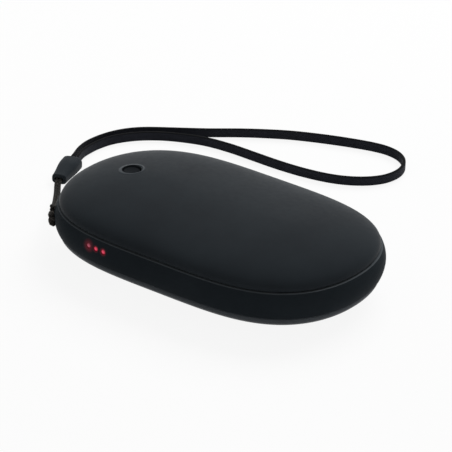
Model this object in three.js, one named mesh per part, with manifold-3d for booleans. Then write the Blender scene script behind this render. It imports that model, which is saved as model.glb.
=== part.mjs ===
// Rechargeable pocket hand warmer with a wrist strap, in millimetres, +Z up.
// The long axis runs along X. The button, the ports and the strap are at the -X end.
// The three charge lights are on the -Y side. The warmer lies on the flat of its lower cover,
// and the origin is in the middle of that flat.

import * as THREE from 'three';
import { mergeVertices } from 'three/addons/utils/BufferGeometryUtils.js';
import Module from 'manifold-3d';

const wasm = await Module();
wasm.setup();

// Outer form: an oval band between two domed covers
const bodyLength = 100;
const bodyWidth = 61.4;
const bandHeight = 8;
const bandBulge = 1.3;
const domeRise = 7.6;
const endPower = 3.75;
const sidePower = 2.1;
const domePower = 1.5;
const rimPower = 2.4;
const topFlatShare = 0.06;
const restFlatShare = 0.2;

// Clearances
const seatGap = 0.3;
const fineGap = 0.15;
const overrun = 1.5;

// Covers and frame walls
const coverWall = 1.4;
const fenceThickness = 1;
const lipThickness = 1;
const lipDepth = 1.7;

// Snap hooks of the covers
const hookWidth = 4;
const hookThickness = 1;
const hookReach = 3.85;
const hookGap = 0.5;
const barbDepth = 0.6;
const barbHeight = 1;
const sideHookShare = 0.05;
const sideHookStartShare = 0.03;
const endHookShare = 0.114;
const endHookStartShare = 0.073;

// Power button
const buttonDiameter = 5;
const buttonGap = 0.35;
const buttonRecess = 0.5;
const buttonTravel = 0.4;
const holeChamfer = 0.35;
const flangeWidth = 0.85;
const flangeThickness = 0.8;
const stemDiameter = 2.4;
const collarWall = 1;
const collarDepth = 2.2;

// Tact switch under the button
const switchSide = 6;
const switchHeight = 3.5;
const plungerDiameter = 3.4;
const plungerLength = 2;
const plungerStand = 1;

// Charge lights
const lightCount = 3;
const lightPitch = 2.8;
const lightsFromEnd = 30.2;
const lightHeight = 1.2;
const lightDiameter = 1.5;
const lightRecess = 0.1;
const lightBend = 1;
const ledLength = 1.6;
const ledDepth = 0.8;
const ledHeight = 0.7;
const ledInset = 6.2;

// Main board
const boardFromEnd = 5;
const boardThickness = 1;
const boardArmMargin = 2;
const boardMargin = 0.5;
const partSpacing = 0.4;

// Output socket
const socketDoorWall = 0.4;
const socketSpacing = 1.8;
const outSocketWidth = 13.1;
const outSocketHeight = 5.7;
const outSocketDepth = 11.6;
const socketSheet = 0.3;
const outTongueThickness = 1.8;
const outTongueLift = 0.55;
const outTongueLength = 7.8;
const outTongueSideGap = 0.7;

// Charging socket
const inSocketWidth = 8.94;
const inSocketHeight = 3.26;
const inSocketDepth = 7.35;
const inTongueWidth = 6.7;
const inTongueThickness = 0.7;
const inTongueLength = 4.5;

// Parts on the main board
const inductorSide = 7;
const inductorHeight = 3.2;
const inductorCorner = 1.2;
const inductorCoreDiameter = 4.6;
const inductorCoreDepth = 0.5;
const chipSide = 3.6;
const chipHeight = 1.1;
const capacitorDiameter = 4;
const capacitorHeight = 5.2;
const capacitorGroove = 0.35;
const connectorLength = 4.8;
const connectorWidth = 4.6;
const connectorHeight = 3.6;
const connectorWall = 0.7;
const connectorFloor = 1;
const connectorEdgeRoom = 3.4;

// Battery pouch, its small protection board and the tray
const pouchBoardGap = 2.5;
const pouchTailRoom = 13.5;
const pouchSideRoom = 12.2;
const pouchThickness = 11;
const pouchEdgeRadius = 2.5;
const pouchCorner = 2.3;
const sealLength = 4.5;
const sealThickness = 1;
const sealSideGap = 1.5;
const guardWidth = 3.7;
const guardSideGap = 4.5;
const guardThickness = 1;
const guardChipLength = 3.2;
const guardChipWidth = 2;
const guardChipHeight = 0.9;
const tabSheet = 0.25;
const tabWidth = 4;
const tabOffsetShare = 0.286;
const tabReach = 3;
const trayWall = 1.4;
const trayEdgeDrop = 0.9;
const trayCorner = 3.5;
const trayBarWidth = 5;
const trayBarThickness = 0.9;
const trayBarPitchShare = 0.273;
const earThickness = 1.2;

// Screws and the bosses that take them
const bossDiameter = 4.6;
const bossWebWidth = 3.6;
const screwDiameter = 1.6;
const screwHeadDiameter = 3.2;
const screwHeadHeight = 1.2;
const screwGrip = 2.6;
const trayBossShares = [-0.327, 0.309];
const trayBossSideRoom = 7.8;
const boardBossWallRoom = 0.5;

// Heaters, foam pads and the thermistor
const filmOverhang = 0.5;
const filmSideInset = 2.5;
const filmCorner = 6;
const filmThickness = 0.3;
const foamEndInset = 5.5;
const foamSideInset = 6.5;
const foamCorner = 4;
const beadDiameter = 1.6;
const beadOffset = 2;

// Leads inside the housing
const leadDiameter = 1.1;
const leadPairPitch = 1.9;
const leadExitGap = 0.5;
const leadExitHeight = 0.4;
const leadTabHeight = 1.35;
const leadTabGap = 0.35;
const leadFilmDrop = 0.6;

// Lanyard point in the band, at the -X, -Y corner
const lanyardSocketRoom = 8.2;
const lanyardHoleWidth = 2.4;
const lanyardHoleHeight = 2;
const bridgeWidth = 1.8;
const bridgeThickness = 1.9;
const lanyardBackWall = 1.2;
const lanyardSideWall = 0.9;

// String, knot, clasp and webbing of the wrist strap
const stringDiameter = 0.9;
const stringPitch = 1.2;
const bightHalfWidth = 1.75;
const knotLength = 4.2;
const knotHeight = 4.6;
const knotThickness = 1.9;
const knotDrop = 0.85;
const claspX = -70;
const claspY = 13;
const claspTurn = 18.3;
const claspLift = 0.05;
const claspLength = 11.4;
const claspEndWidth = 4;
const claspEndHeight = 3.1;
const claspMouthWidth = 6;
const claspMouthHeight = 4.2;
const claspWall = 0.45;
const claspMouthDepth = 2.4;
const claspBoreDepth = 2.6;
const webbingWidth = 2.9;
const webbingThickness = 1;
const webbingEdge = 0.3;

// Fineness of the round forms
const outlineSteps = 48;
const sheetSteps = 20;
const cornerSteps = 3;
const outerLevels = 8;
const innerLevels = 5;
const bandLevels = 6;
const roundSides = 18;
const smallSides = 10;
const cordSides = 8;
const pipeSteps = 9;
const leadSteps = 10;
const leadSides = 6;
const stringSteps = 16;
const webbingSteps = 66;

// Heights measured from the middle plane of the band
const coverBase = bandHeight / 2 + seatGap / 2;
const coverRise = domeRise - seatGap / 2;
const frameEdge = bandHeight / 2 - seatGap / 2;
const lipOuterInset = bandBulge + fenceThickness + seatGap;
const frameInset = lipOuterInset + lipThickness;
const rebateDepth = lipDepth + seatGap;
const innerRise = coverRise - coverWall;
const boardTop = -inSocketHeight / 2 - seatGap;
const bossHalfHeight = -boardTop - seatGap;
const middleHeight = coverBase + coverRise * domeLevel(restFlatShare);

// Sockets side by side in the -X end, and the lanyard point beside them
const headX = -bodyLength / 2;
const outSocketY = (inSocketWidth + socketSpacing) / 2;
const inSocketY = -(outSocketWidth + socketSpacing) / 2;
const bulgeAtSocket = bandBulge * ((outSocketHeight / 2 + seatGap) / (bandHeight / 2)) ** 2;
const bandAtSocket = outlineX(bulgeAtSocket, outSocketY + outSocketWidth / 2 + seatGap);
const socketMouthX = socketDoorWall + seatGap - bandAtSocket;
const outSocketBackX = socketMouthX + outSocketDepth;
const inSocketBackX = socketMouthX + inSocketDepth;
const lanyardY = inSocketY - inSocketWidth / 2 - lanyardSocketRoom;
const lanyardX = -outlineX(0, lanyardY);

// Switch, lights and main board, from the back of the sockets on
const buttonX = outSocketBackX + partSpacing + switchSide / 2;
const capacitorX = outSocketBackX + partSpacing + capacitorDiameter / 2;
const boardStartX = headX + boardFromEnd;
const boardEndX = outSocketBackX + 2 * (partSpacing + capacitorDiameter) + boardMargin;
const lightMiddleX = headX + lightsFromEnd;
const ledY = ledInset - outlineY(0, lightMiddleX);
const boardArmEndX = lightX(lightCount - 1) + ledLength / 2 + boardArmMargin;
const boardArmInnerY = ledY + ledDepth / 2 + boardArmMargin;

// Parts on the main board
const connectorX = boardEndX - boardMargin - connectorLength / 2;
const connectorStartX = connectorX - connectorLength / 2;
const boardEdgeAtConnector = outlineY(frameInset + seatGap, connectorStartX);
const connectorY = boardEdgeAtConnector - connectorEdgeRoom - connectorWidth / 2;
const roomBesideConnector = connectorY - connectorWidth / 2 - partSpacing;
const inductorX = boardEndX - 2 * boardMargin - inductorSide / 2;
const inductorY = inductorSide / 2 - roomBesideConnector;
const capacitorY = roomBesideConnector - capacitorDiameter / 2;
const chipX = inSocketBackX + boardMargin + chipSide / 2;
const chipY = -(switchSide / 2 + partSpacing + chipSide / 2);
const boardBossX = connectorStartX - 2 * partSpacing - bossDiameter / 2;
const boardBossY = outlineY(frameInset, boardBossX) - bossDiameter / 2 - boardBossWallRoom;

// Pouch between the main board and the +X end
const sealEndX = boardEndX + pouchBoardGap;
const pouchStartX = sealEndX + sealLength;
const pouchEndX = -headX - pouchTailRoom;
const pouchLength = pouchEndX - pouchStartX;
const pouchMiddleX = (pouchStartX + pouchEndX) / 2;
const pouchWidth = bodyWidth - 2 * pouchSideRoom;
const guardLength = pouchWidth - 2 * guardSideGap;
const trayBossY = bodyWidth / 2 - trayBossSideRoom;

const materials = {
  cover: new THREE.MeshStandardMaterial({ color: 0x34393c, roughness: 0.5, metalness: 0.35 }),
  frame: new THREE.MeshStandardMaterial({ color: 0x17191b, roughness: 0.42, metalness: 0 }),
  button: new THREE.MeshStandardMaterial({ color: 0x1d2022, roughness: 0.5, metalness: 0 }),
  light: new THREE.MeshStandardMaterial({ color: 0xe63c50, roughness: 0.25, metalness: 0 }),
  steel: new THREE.MeshStandardMaterial({ color: 0xb9bcc0, roughness: 0.3, metalness: 1 }),
  nickel: new THREE.MeshStandardMaterial({ color: 0xa9a69e, roughness: 0.35, metalness: 1 }),
  board: new THREE.MeshStandardMaterial({ color: 0x1f5a3a, roughness: 0.6, metalness: 0 }),
  chip: new THREE.MeshStandardMaterial({ color: 0x141416, roughness: 0.55, metalness: 0 }),
  ferrite: new THREE.MeshStandardMaterial({ color: 0x3a3a3e, roughness: 0.8, metalness: 0 }),
  connector: new THREE.MeshStandardMaterial({ color: 0xe6e2d4, roughness: 0.5, metalness: 0 }),
  led: new THREE.MeshStandardMaterial({ color: 0xf0e6d8, roughness: 0.4, metalness: 0 }),
  pouch: new THREE.MeshStandardMaterial({ color: 0xb4b7ba, roughness: 0.35, metalness: 0.8 }),
  tray: new THREE.MeshStandardMaterial({ color: 0x26282a, roughness: 0.6, metalness: 0 }),
  film: new THREE.MeshStandardMaterial({ color: 0xb0722a, roughness: 0.35, metalness: 0 }),
  foam: new THREE.MeshStandardMaterial({ color: 0x6a6d70, roughness: 0.95, metalness: 0 }),
  redLead: new THREE.MeshStandardMaterial({ color: 0xb02020, roughness: 0.5, metalness: 0 }),
  blackLead: new THREE.MeshStandardMaterial({ color: 0x161616, roughness: 0.5, metalness: 0 }),
  string: new THREE.MeshStandardMaterial({ color: 0x141418, roughness: 0.85, metalness: 0 }),
  clasp: new THREE.MeshStandardMaterial({ color: 0x2f3336, roughness: 0.5, metalness: 0 }),
  webbing: new THREE.MeshStandardMaterial({ color: 0x1a1a20, roughness: 0.9, metalness: 0 }),
};

const strapAndWarmer = new THREE.Group();
const warmer = new THREE.Group();
warmer.position.z = middleHeight;
strapAndWarmer.add(warmer);

// Solids and geometry

function solidOf(geometry) {
  const bare = geometry.clone();
  bare.deleteAttribute('normal');
  bare.deleteAttribute('uv');
  const merged = mergeVertices(bare);
  const vertProperties = new Float32Array(merged.attributes.position.array);
  const triVerts = new Uint32Array(merged.index.array);
  return new wasm.Manifold(new wasm.Mesh({ numProp: 3, vertProperties, triVerts }));
}

function geometryOf(solid) {
  const mesh = solid.getMesh();
  const geometry = new THREE.BufferGeometry();
  geometry.setAttribute('position', new THREE.BufferAttribute(new Float32Array(mesh.vertProperties), 3));
  geometry.setIndex(new THREE.BufferAttribute(new Uint32Array(mesh.triVerts), 1));
  geometry.computeVertexNormals();
  return geometry;
}

function addPiece(name, form, material, group = warmer) {
  const geometry = form.isBufferGeometry ? form : geometryOf(form);
  const mesh = new THREE.Mesh(geometry, material);
  mesh.name = name;
  group.add(mesh);
  return mesh;
}

function joined(solids) {
  return solids.reduce((whole, solid) => whole.add(solid));
}

function without(solid, cutters) {
  return cutters.reduce((rest, cutter) => rest.subtract(cutter), solid);
}

// A closed skin over rings with the same number of points, listed from the lowest ring up,
// each ring counterclockwise seen from above.
function loft(rings) {
  const count = rings[0].length;
  const positions = [];
  const indices = [];
  rings.forEach((ring) => ring.forEach((point) => positions.push(point.x, point.y, point.z)));
  for (let level = 0; level < rings.length - 1; level += 1) {
    for (let step = 0; step < count; step += 1) {
      const a = level * count + step;
      const b = level * count + (step + 1) % count;
      indices.push(a, b, b + count);
      indices.push(a, b + count, a + count);
    }
  }
  const last = (rings.length - 1) * count;
  for (let step = 1; step < count - 1; step += 1) {
    indices.push(0, step + 1, step);
    indices.push(last, last + step, last + step + 1);
  }
  const geometry = new THREE.BufferGeometry();
  geometry.setAttribute('position', new THREE.Float32BufferAttribute(positions, 3));
  geometry.setIndex(indices);
  geometry.computeVertexNormals();
  return geometry;
}

// Turns a geometry upside down through the middle plane
function mirrored(geometry) {
  const copy = geometry.clone();
  copy.scale(1, 1, -1);
  copy.setIndex(Array.from(copy.index.array).reverse());
  copy.computeVertexNormals();
  return copy;
}

function plate(shape, low, high) {
  const depth = high - low;
  const options = { depth, bevelEnabled: false, curveSegments: cornerSteps };
  const geometry = new THREE.ExtrudeGeometry(shape, options);
  geometry.translate(0, 0, low);
  return geometry;
}

function roundedShape(length, width, radius, middleX = 0, middleY = 0) {
  const right = length / 2 - radius;
  const top = width / 2 - radius;
  const shape = new THREE.Shape();
  [[1, 1], [-1, 1], [-1, -1], [1, -1]].forEach(([sideX, sideY], corner) => {
    const turn = (corner * Math.PI) / 2;
    shape.absarc(middleX + sideX * right, middleY + sideY * top, radius, turn, turn + Math.PI / 2);
  });
  return shape;
}

function block(lowX, highX, lowY, highY, lowZ, highZ) {
  const geometry = new THREE.BoxGeometry(highX - lowX, highY - lowY, highZ - lowZ);
  geometry.translate((lowX + highX) / 2, (lowY + highY) / 2, (lowZ + highZ) / 2);
  return geometry;
}

function post(diameter, x, y, low, high, sides = roundSides) {
  const geometry = new THREE.CylinderGeometry(diameter / 2, diameter / 2, high - low, sides);
  geometry.rotateX(Math.PI / 2);
  geometry.translate(x, y, (low + high) / 2);
  return geometry;
}

function turned(profile, x, y, sides = roundSides) {
  const points = profile.map(([radius, z]) => new THREE.Vector2(radius, z));
  const geometry = new THREE.LatheGeometry(points, sides);
  geometry.rotateX(Math.PI / 2);
  geometry.translate(x, y, 0);
  return geometry;
}

// A section drawn in Y and Z and drawn out along X
function alongX(shape, lowX, highX, y, z) {
  const geometry = plate(shape, lowX, highX);
  const toX = new THREE.Matrix4().makeBasis(
    new THREE.Vector3(0, 1, 0),
    new THREE.Vector3(0, 0, 1),
    new THREE.Vector3(1, 0, 0),
  );
  geometry.applyMatrix4(toX);
  geometry.translate(0, y, z);
  return geometry;
}

function roundSection(diameter, sides) {
  const shape = new THREE.Shape();
  for (let side = 0; side < sides; side += 1) {
    const turn = (2 * Math.PI * side) / sides;
    const point = [diameter / 2 * Math.cos(turn), diameter / 2 * Math.sin(turn)];
    if (side === 0) {
      shape.moveTo(...point);
    } else {
      shape.lineTo(...point);
    }
  }
  shape.closePath();
  return shape;
}

function drawnAlong(path, section, steps) {
  return new THREE.ExtrudeGeometry(section, { steps, extrudePath: path, bevelEnabled: false });
}

function smoothPath(places) {
  const points = places.map((place) => new THREE.Vector3(...place));
  return new THREE.CatmullRomCurve3(points, false, 'centripetal');
}

// Outline of the body, seen from above

function outlinePoint(halfLength, halfWidth, turn) {
  const along = Math.cos(turn);
  const across = Math.sin(turn);
  return new THREE.Vector2(
    halfLength * Math.sign(along) * Math.abs(along) ** (2 / endPower),
    halfWidth * Math.sign(across) * Math.abs(across) ** (2 / sidePower),
  );
}

// Turns that put the outline's points at even distances along it
function evenTurns(count) {
  const fine = 3600;
  const lengths = [0];
  let before = outlinePoint(bodyLength / 2, bodyWidth / 2, 0);
  for (let step = 1; step <= fine; step += 1) {
    const next = outlinePoint(bodyLength / 2, bodyWidth / 2, (2 * Math.PI * step) / fine);
    lengths.push(lengths[step - 1] + next.distanceTo(before));
    before = next;
  }
  const turns = [];
  let step = 0;
  for (let index = 0; index < count; index += 1) {
    const target = (lengths[fine] * index) / count;
    while (lengths[step + 1] < target) {
      step += 1;
    }
    const share = (target - lengths[step]) / (lengths[step + 1] - lengths[step]);
    turns.push((2 * Math.PI * (step + share)) / fine);
  }
  return turns;
}

const outlineTurns = evenTurns(outlineSteps);
const sheetTurns = evenTurns(sheetSteps);

function ringAt(halfLength, halfWidth, z, turns = outlineTurns) {
  return turns.map((turn) => {
    const point = outlinePoint(halfLength, halfWidth, turn);
    return new THREE.Vector3(point.x, point.y, z);
  });
}

function insetRing(inset, z, turns = outlineTurns) {
  return ringAt(bodyLength / 2 - inset, bodyWidth / 2 - inset, z, turns);
}

function outlineBlock(inset, low, high, turns = outlineTurns) {
  return loft([insetRing(inset, low, turns), insetRing(inset, high, turns)]);
}

// Half width of the inset outline at a place along X
function outlineY(inset, x) {
  const share = Math.abs(x) / (bodyLength / 2 - inset);
  return (bodyWidth / 2 - inset) * (1 - share ** endPower) ** (1 / sidePower);
}

// Half length of the inset outline at a place along Y
function outlineX(inset, y) {
  const share = Math.abs(y) / (bodyWidth / 2 - inset);
  return (bodyLength / 2 - inset) * (1 - share ** sidePower) ** (1 / endPower);
}

// Puts a geometry drawn with X along the outline, Y outward and Z up onto the outer outline
function placedOnOutline(geometry, x, y) {
  const halfLength = bodyLength / 2;
  const halfWidth = bodyWidth / 2;
  const slopeX = (Math.sign(x) * (Math.abs(x) / halfLength) ** (endPower - 1) * endPower) / halfLength;
  const slopeY = (Math.sign(y) * (Math.abs(y) / halfWidth) ** (sidePower - 1) * sidePower) / halfWidth;
  const outward = new THREE.Vector3(slopeX, slopeY, 0).normalize();
  const beside = new THREE.Vector3(outward.y, -outward.x, 0);
  const place = new THREE.Matrix4().makeBasis(beside, outward, new THREE.Vector3(0, 0, 1));
  place.setPosition(x, y, 0);
  geometry.applyMatrix4(place);
  return geometry;
}

// Domes: each level is the seam outline drawn in by the same amount all round

function domeLevel(share) {
  return (1 - share ** domePower) ** (1 / rimPower);
}

function levelSize(inset, share) {
  const halfWidth = (bodyWidth / 2 - inset) * share;
  const drawnIn = (bodyWidth / 2 - inset) * (1 - share);
  return { halfLength: bodyLength / 2 - inset - drawnIn, halfWidth };
}

function domeBlock(inset, base, rise, flatShare, levels, turns = outlineTurns) {
  const steepest = Math.PI / 2;
  const flattest = Math.asin(flatShare ** (domePower / 2));
  const rings = [];
  for (let level = 0; level <= levels; level += 1) {
    const slope = steepest + ((flattest - steepest) * level) / levels;
    const share = Math.sin(slope) ** (2 / domePower);
    const { halfLength, halfWidth } = levelSize(inset, share);
    rings.push(ringAt(halfLength, halfWidth, base + rise * domeLevel(Math.min(share, 1)), turns));
  }
  return loft(rings);
}

// Height of a dome over a place, found by halving the range of levels
function domeHeight(x, y, inset, rise) {
  let inside = 0;
  let outside = 1;
  for (let round = 0; round < 40; round += 1) {
    const share = (inside + outside) / 2;
    const { halfLength, halfWidth } = levelSize(inset, share);
    const reach = (Math.abs(x) / halfLength) ** endPower + (Math.abs(y) / halfWidth) ** sidePower;
    if (reach > 1) {
      inside = share;
    } else {
      outside = share;
    }
  }
  return coverBase + rise * domeLevel(outside);
}

// The room under a cover, lowered by a drop
function innerDome(drop, flatShare, turns = outlineTurns) {
  const geometry = domeBlock(frameInset, coverBase, innerRise, flatShare, innerLevels, turns);
  geometry.translate(0, 0, -drop);
  const skirt = outlineBlock(frameInset, coverBase - overrun - drop, coverBase - drop, turns);
  return solidOf(geometry).add(solidOf(skirt));
}

// Snap hooks stand on the lip of a cover. Top and bottom hooks alternate along the sides.

function hookPlaces(isTop) {
  const shift = isTop ? 0 : 1;
  const places = [];
  for (const side of [-1, 1]) {
    for (const pair of [0, 1]) {
      const x = bodyLength * (sideHookStartShare + (shift + 2 * pair) * sideHookShare);
      places.push([x, side * outlineY(0, x)]);
    }
    const y = side * bodyWidth * (endHookStartShare + shift * endHookShare);
    places.push([outlineX(0, y), y]);
  }
  return places;
}

function hook(x, y) {
  const outer = frameInset + hookGap;
  const inner = outer + hookThickness;
  const tip = coverBase - hookReach;
  const shoulderTop = coverBase;
  const shoulderLow = coverBase - lipDepth;
  const half = hookWidth / 2;
  const shoulder = block(-half, half, -inner, -lipOuterInset - seatGap, shoulderLow, shoulderTop);
  const tongue = block(-half, half, -inner, -outer, tip, shoulderTop);
  const barb = block(-half, half, -outer - fineGap, -frameInset + barbDepth, tip, tip + barbHeight);
  const solid = joined([shoulder, tongue, barb].map(solidOf));
  return solidOf(placedOnOutline(geometryOf(solid), x, y));
}

function hookPocket(x, y) {
  const tip = coverBase - hookReach;
  const half = hookWidth / 2 + seatGap;
  const deep = -frameInset + barbDepth + seatGap;
  const pocket = block(-half, half, -frameInset - overrun, deep, tip - seatGap, tip + barbHeight + seatGap);
  return placedOnOutline(pocket, x, y);
}

// Covers

function coverShell(flatShare) {
  const outer = solidOf(domeBlock(bandBulge, coverBase, coverRise, flatShare, outerLevels));
  const shell = outer.subtract(innerDome(0, flatShare));
  const lip = solidOf(outlineBlock(lipOuterInset, coverBase - lipDepth, coverBase + fenceThickness));
  const bore = solidOf(outlineBlock(frameInset, coverBase - lipDepth - overrun, coverBase + overrun));
  return shell.add(lip.subtract(bore));
}

// The lip leaves room for the two sockets
function lipNotch() {
  const lowY = inSocketY - inSocketWidth / 2 - 2 * seatGap;
  const highY = outSocketY + outSocketWidth / 2 + 2 * seatGap;
  const lowZ = coverBase - lipDepth - overrun;
  return solidOf(block(headX, headX / 2, lowY, highY, lowZ, coverBase - fineGap + seatGap));
}

const buttonHole = buttonDiameter + 2 * buttonGap;
const flangeDiameter = buttonDiameter + 2 * flangeWidth;
const pocketDiameter = flangeDiameter + 2 * buttonGap;
const collarDiameter = pocketDiameter + 2 * collarWall;
const flangeCeiling = domeHeight(buttonX - collarDiameter / 2, 0, bandBulge, coverRise) - coverWall;
const flangeTop = flangeCeiling - fineGap;
const surfaceAtButton = domeHeight(buttonX, 0, bandBulge, coverRise);

function topCover() {
  const outer = solidOf(domeBlock(bandBulge, coverBase, coverRise, topFlatShare, outerLevels));
  const collar = solidOf(post(collarDiameter, buttonX, 0, flangeCeiling - collarDepth, surfaceAtButton));
  const pocket = solidOf(post(pocketDiameter, buttonX, 0, coverBase, flangeCeiling));
  const hole = solidOf(post(buttonHole, buttonX, 0, coverBase, surfaceAtButton + overrun));
  const chamferRise = holeChamfer + overrun;
  const chamfer = solidOf(turned([
    [0, surfaceAtButton - holeChamfer],
    [buttonHole / 2, surfaceAtButton - holeChamfer],
    [buttonHole / 2 + chamferRise, surfaceAtButton + overrun],
    [0, surfaceAtButton + overrun],
  ], buttonX, 0));
  const shell = coverShell(topFlatShare).add(collar.intersect(outer));
  const hooks = hookPlaces(true).map(([x, y]) => hook(x, y));
  return without(joined([shell, ...hooks]), [pocket, hole, chamfer, lipNotch()]);
}

function bottomCover() {
  const shell = without(coverShell(restFlatShare), [lipNotch()]);
  const hooks = hookPlaces(false).map(([x, y]) => hook(x, y));
  return mirrored(geometryOf(joined([shell, ...hooks])));
}

// Frame: the band with its rebates, bosses, sockets, light holes and lanyard point

function bandRing() {
  const rings = [];
  for (let level = 0; level <= bandLevels; level += 1) {
    const z = frameEdge * (2 * level / bandLevels - 1);
    rings.push(insetRing(bandBulge * (z / (bandHeight / 2)) ** 2, z));
  }
  const band = solidOf(loft(rings));
  const bore = solidOf(outlineBlock(frameInset, -bandHeight, bandHeight));
  const rebate = bandBulge + fenceThickness;
  const upper = solidOf(outlineBlock(rebate, coverBase - rebateDepth, bandHeight));
  const lower = solidOf(outlineBlock(rebate, -bandHeight, rebateDepth - coverBase));
  return without(band, [bore, upper, lower]);
}

function bossAt(x, y) {
  const wallY = Math.sign(y) * (outlineY(frameInset, x) + fenceThickness / 2);
  const web = block(x - bossWebWidth / 2, x + bossWebWidth / 2, Math.min(y, wallY), Math.max(y, wallY),
    -bossHalfHeight, bossHalfHeight);
  return solidOf(post(bossDiameter, x, y, -bossHalfHeight, bossHalfHeight)).add(solidOf(web));
}

function bossPlaces() {
  const places = [];
  for (const side of [-1, 1]) {
    trayBossShares.forEach((share) => places.push([pouchMiddleX + share * pouchLength, side * trayBossY]));
    places.push([boardBossX, side * boardBossY]);
  }
  return places;
}

const screwHole = screwDiameter + 2 * seatGap;
const bightDepth = bridgeThickness + 2 * seatGap + stringDiameter / 2;
const tunnelDepth = bightDepth + stringDiameter / 2 + seatGap;
const lanyardHalf = bridgeWidth / 2 + lanyardHoleWidth;

function lanyardBoss() {
  const half = lanyardHalf + lanyardSideWall;
  const back = -tunnelDepth - lanyardBackWall;
  return placedOnOutline(block(-half, half, back, -frameInset + fenceThickness / 2, -bossHalfHeight,
    bossHalfHeight), lanyardX, lanyardY);
}

function lanyardCuts() {
  const high = lanyardHoleHeight / 2;
  const holes = [-1, 1].map((side) => {
    const middle = side * (bridgeWidth / 2 + lanyardHoleWidth / 2);
    const half = lanyardHoleWidth / 2;
    return block(middle - half, middle + half, -tunnelDepth, overrun, -high, high);
  });
  const tunnel = block(-lanyardHalf, lanyardHalf, -tunnelDepth, -bridgeThickness, -high, high);
  return [...holes, tunnel].map((cutter) => solidOf(placedOnOutline(cutter, lanyardX, lanyardY)));
}

function lightX(index) {
  return lightMiddleX + (index - (lightCount - 1) / 2) * lightPitch;
}

function lightHoles() {
  const holes = [];
  for (let index = 0; index < lightCount; index += 1) {
    const hole = new THREE.CylinderGeometry(lightDiameter / 2 + fineGap, lightDiameter / 2 + fineGap,
      frameInset + 2 * overrun, smallSides);
    hole.translate(lightX(index), -outlineY(frameInset / 2, lightX(index)), lightHeight);
    holes.push(solidOf(hole));
  }
  return holes;
}

function stadium(width, height) {
  return roundedShape(width, height, height / 2 - fineGap / 2);
}

function socketCuts() {
  const frontX = socketMouthX - seatGap;
  const outFit = 2 * seatGap;
  const outPocket = block(frontX, boardStartX + frameInset, outSocketY - outSocketWidth / 2 - seatGap,
    outSocketY + outSocketWidth / 2 + seatGap, -outSocketHeight / 2 - seatGap, outSocketHeight / 2 + seatGap);
  const outWindow = block(-bodyLength / 2 - overrun, frontX + overrun,
    outSocketY - outSocketWidth / 2 + seatGap / 2, outSocketY + outSocketWidth / 2 - seatGap / 2,
    -outSocketHeight / 2 + seatGap / 2, outSocketHeight / 2 - seatGap / 2);
  const inPocket = alongX(stadium(inSocketWidth + outFit, inSocketHeight + outFit), frontX,
    boardStartX + frameInset, inSocketY, 0);
  const inWindow = alongX(stadium(inSocketWidth + seatGap, inSocketHeight + seatGap),
    -bodyLength / 2 - overrun, frontX + overrun, inSocketY, 0);
  return [outPocket, outWindow, inPocket, inWindow].map(solidOf);
}

function middleFrame() {
  const bosses = bossPlaces().map(([x, y]) => bossAt(x, y));
  const solid = joined([bandRing(), ...bosses, solidOf(lanyardBoss())]);
  const screwHoles = bossPlaces().map(([x, y]) => (
    solidOf(post(screwHole, x, y, -bandHeight, bandHeight, smallSides))));
  const topPockets = hookPlaces(true).map(([x, y]) => solidOf(hookPocket(x, y)));
  const bottomPockets = hookPlaces(false).map(([x, y]) => solidOf(mirrored(hookPocket(x, y))));
  return without(solid, [...screwHoles, ...topPockets, ...bottomPockets, ...lightHoles(), ...lanyardCuts(),
    ...socketCuts()]);
}

// Power button and its switch

const switchTop = boardTop + seatGap + switchHeight;
const stemFoot = switchTop + plungerStand + seatGap;

function powerButton() {
  const blank = solidOf(turned([
    [0, stemFoot],
    [stemDiameter / 2, stemFoot],
    [stemDiameter / 2, flangeTop - flangeThickness],
    [flangeDiameter / 2, flangeTop - flangeThickness],
    [flangeDiameter / 2, flangeTop],
    [buttonDiameter / 2, flangeTop],
    [buttonDiameter / 2, surfaceAtButton + overrun],
    [0, surfaceAtButton + overrun],
  ], buttonX, 0));
  const skin = domeBlock(bandBulge, coverBase, coverRise, topFlatShare, outerLevels);
  skin.translate(0, 0, -buttonRecess);
  const below = post(2 * flangeDiameter, buttonX, 0, stemFoot - overrun, coverBase);
  return blank.intersect(solidOf(skin).add(solidOf(below)));
}

function switchBody() {
  const base = boardTop + seatGap;
  const body = solidOf(plate(roundedShape(switchSide, switchSide, seatGap, buttonX, 0), base, switchTop));
  const well = post(plungerDiameter + 2 * fineGap, buttonX, 0,
    switchTop + plungerStand - plungerLength - buttonTravel - fineGap, switchTop + overrun);
  return body.subtract(solidOf(well));
}

function switchPlunger() {
  const top = switchTop + plungerStand;
  return post(plungerDiameter, buttonX, 0, top - plungerLength, top);
}

// Charge lights: a diode on the board arm and a bent light pipe to the band

function lightPipe(index) {
  const x = lightX(index);
  const foot = boardTop + 2 * seatGap + ledHeight;
  const surface = -outlineY(bandBulge * (lightHeight / (bandHeight / 2)) ** 2, x);
  const path = new THREE.CurvePath();
  const start = new THREE.Vector3(x, ledY, foot);
  const turnStart = new THREE.Vector3(x, ledY, lightHeight - lightBend);
  const corner = new THREE.Vector3(x, ledY, lightHeight);
  const turnEnd = new THREE.Vector3(x, ledY - lightBend, lightHeight);
  const tip = new THREE.Vector3(x, surface + lightRecess, lightHeight);
  path.add(new THREE.LineCurve3(start, turnStart));
  path.add(new THREE.QuadraticBezierCurve3(turnStart, corner, turnEnd));
  path.add(new THREE.LineCurve3(turnEnd, tip));
  return drawnAlong(path, roundSection(lightDiameter, smallSides), pipeSteps);
}

function lightDiode(index) {
  const x = lightX(index);
  const base = boardTop + seatGap;
  return block(x - ledLength / 2, x + ledLength / 2, ledY - ledDepth / 2, ledY + ledDepth / 2,
    base, base + ledHeight);
}

// Boards and what stands on the main board

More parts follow.
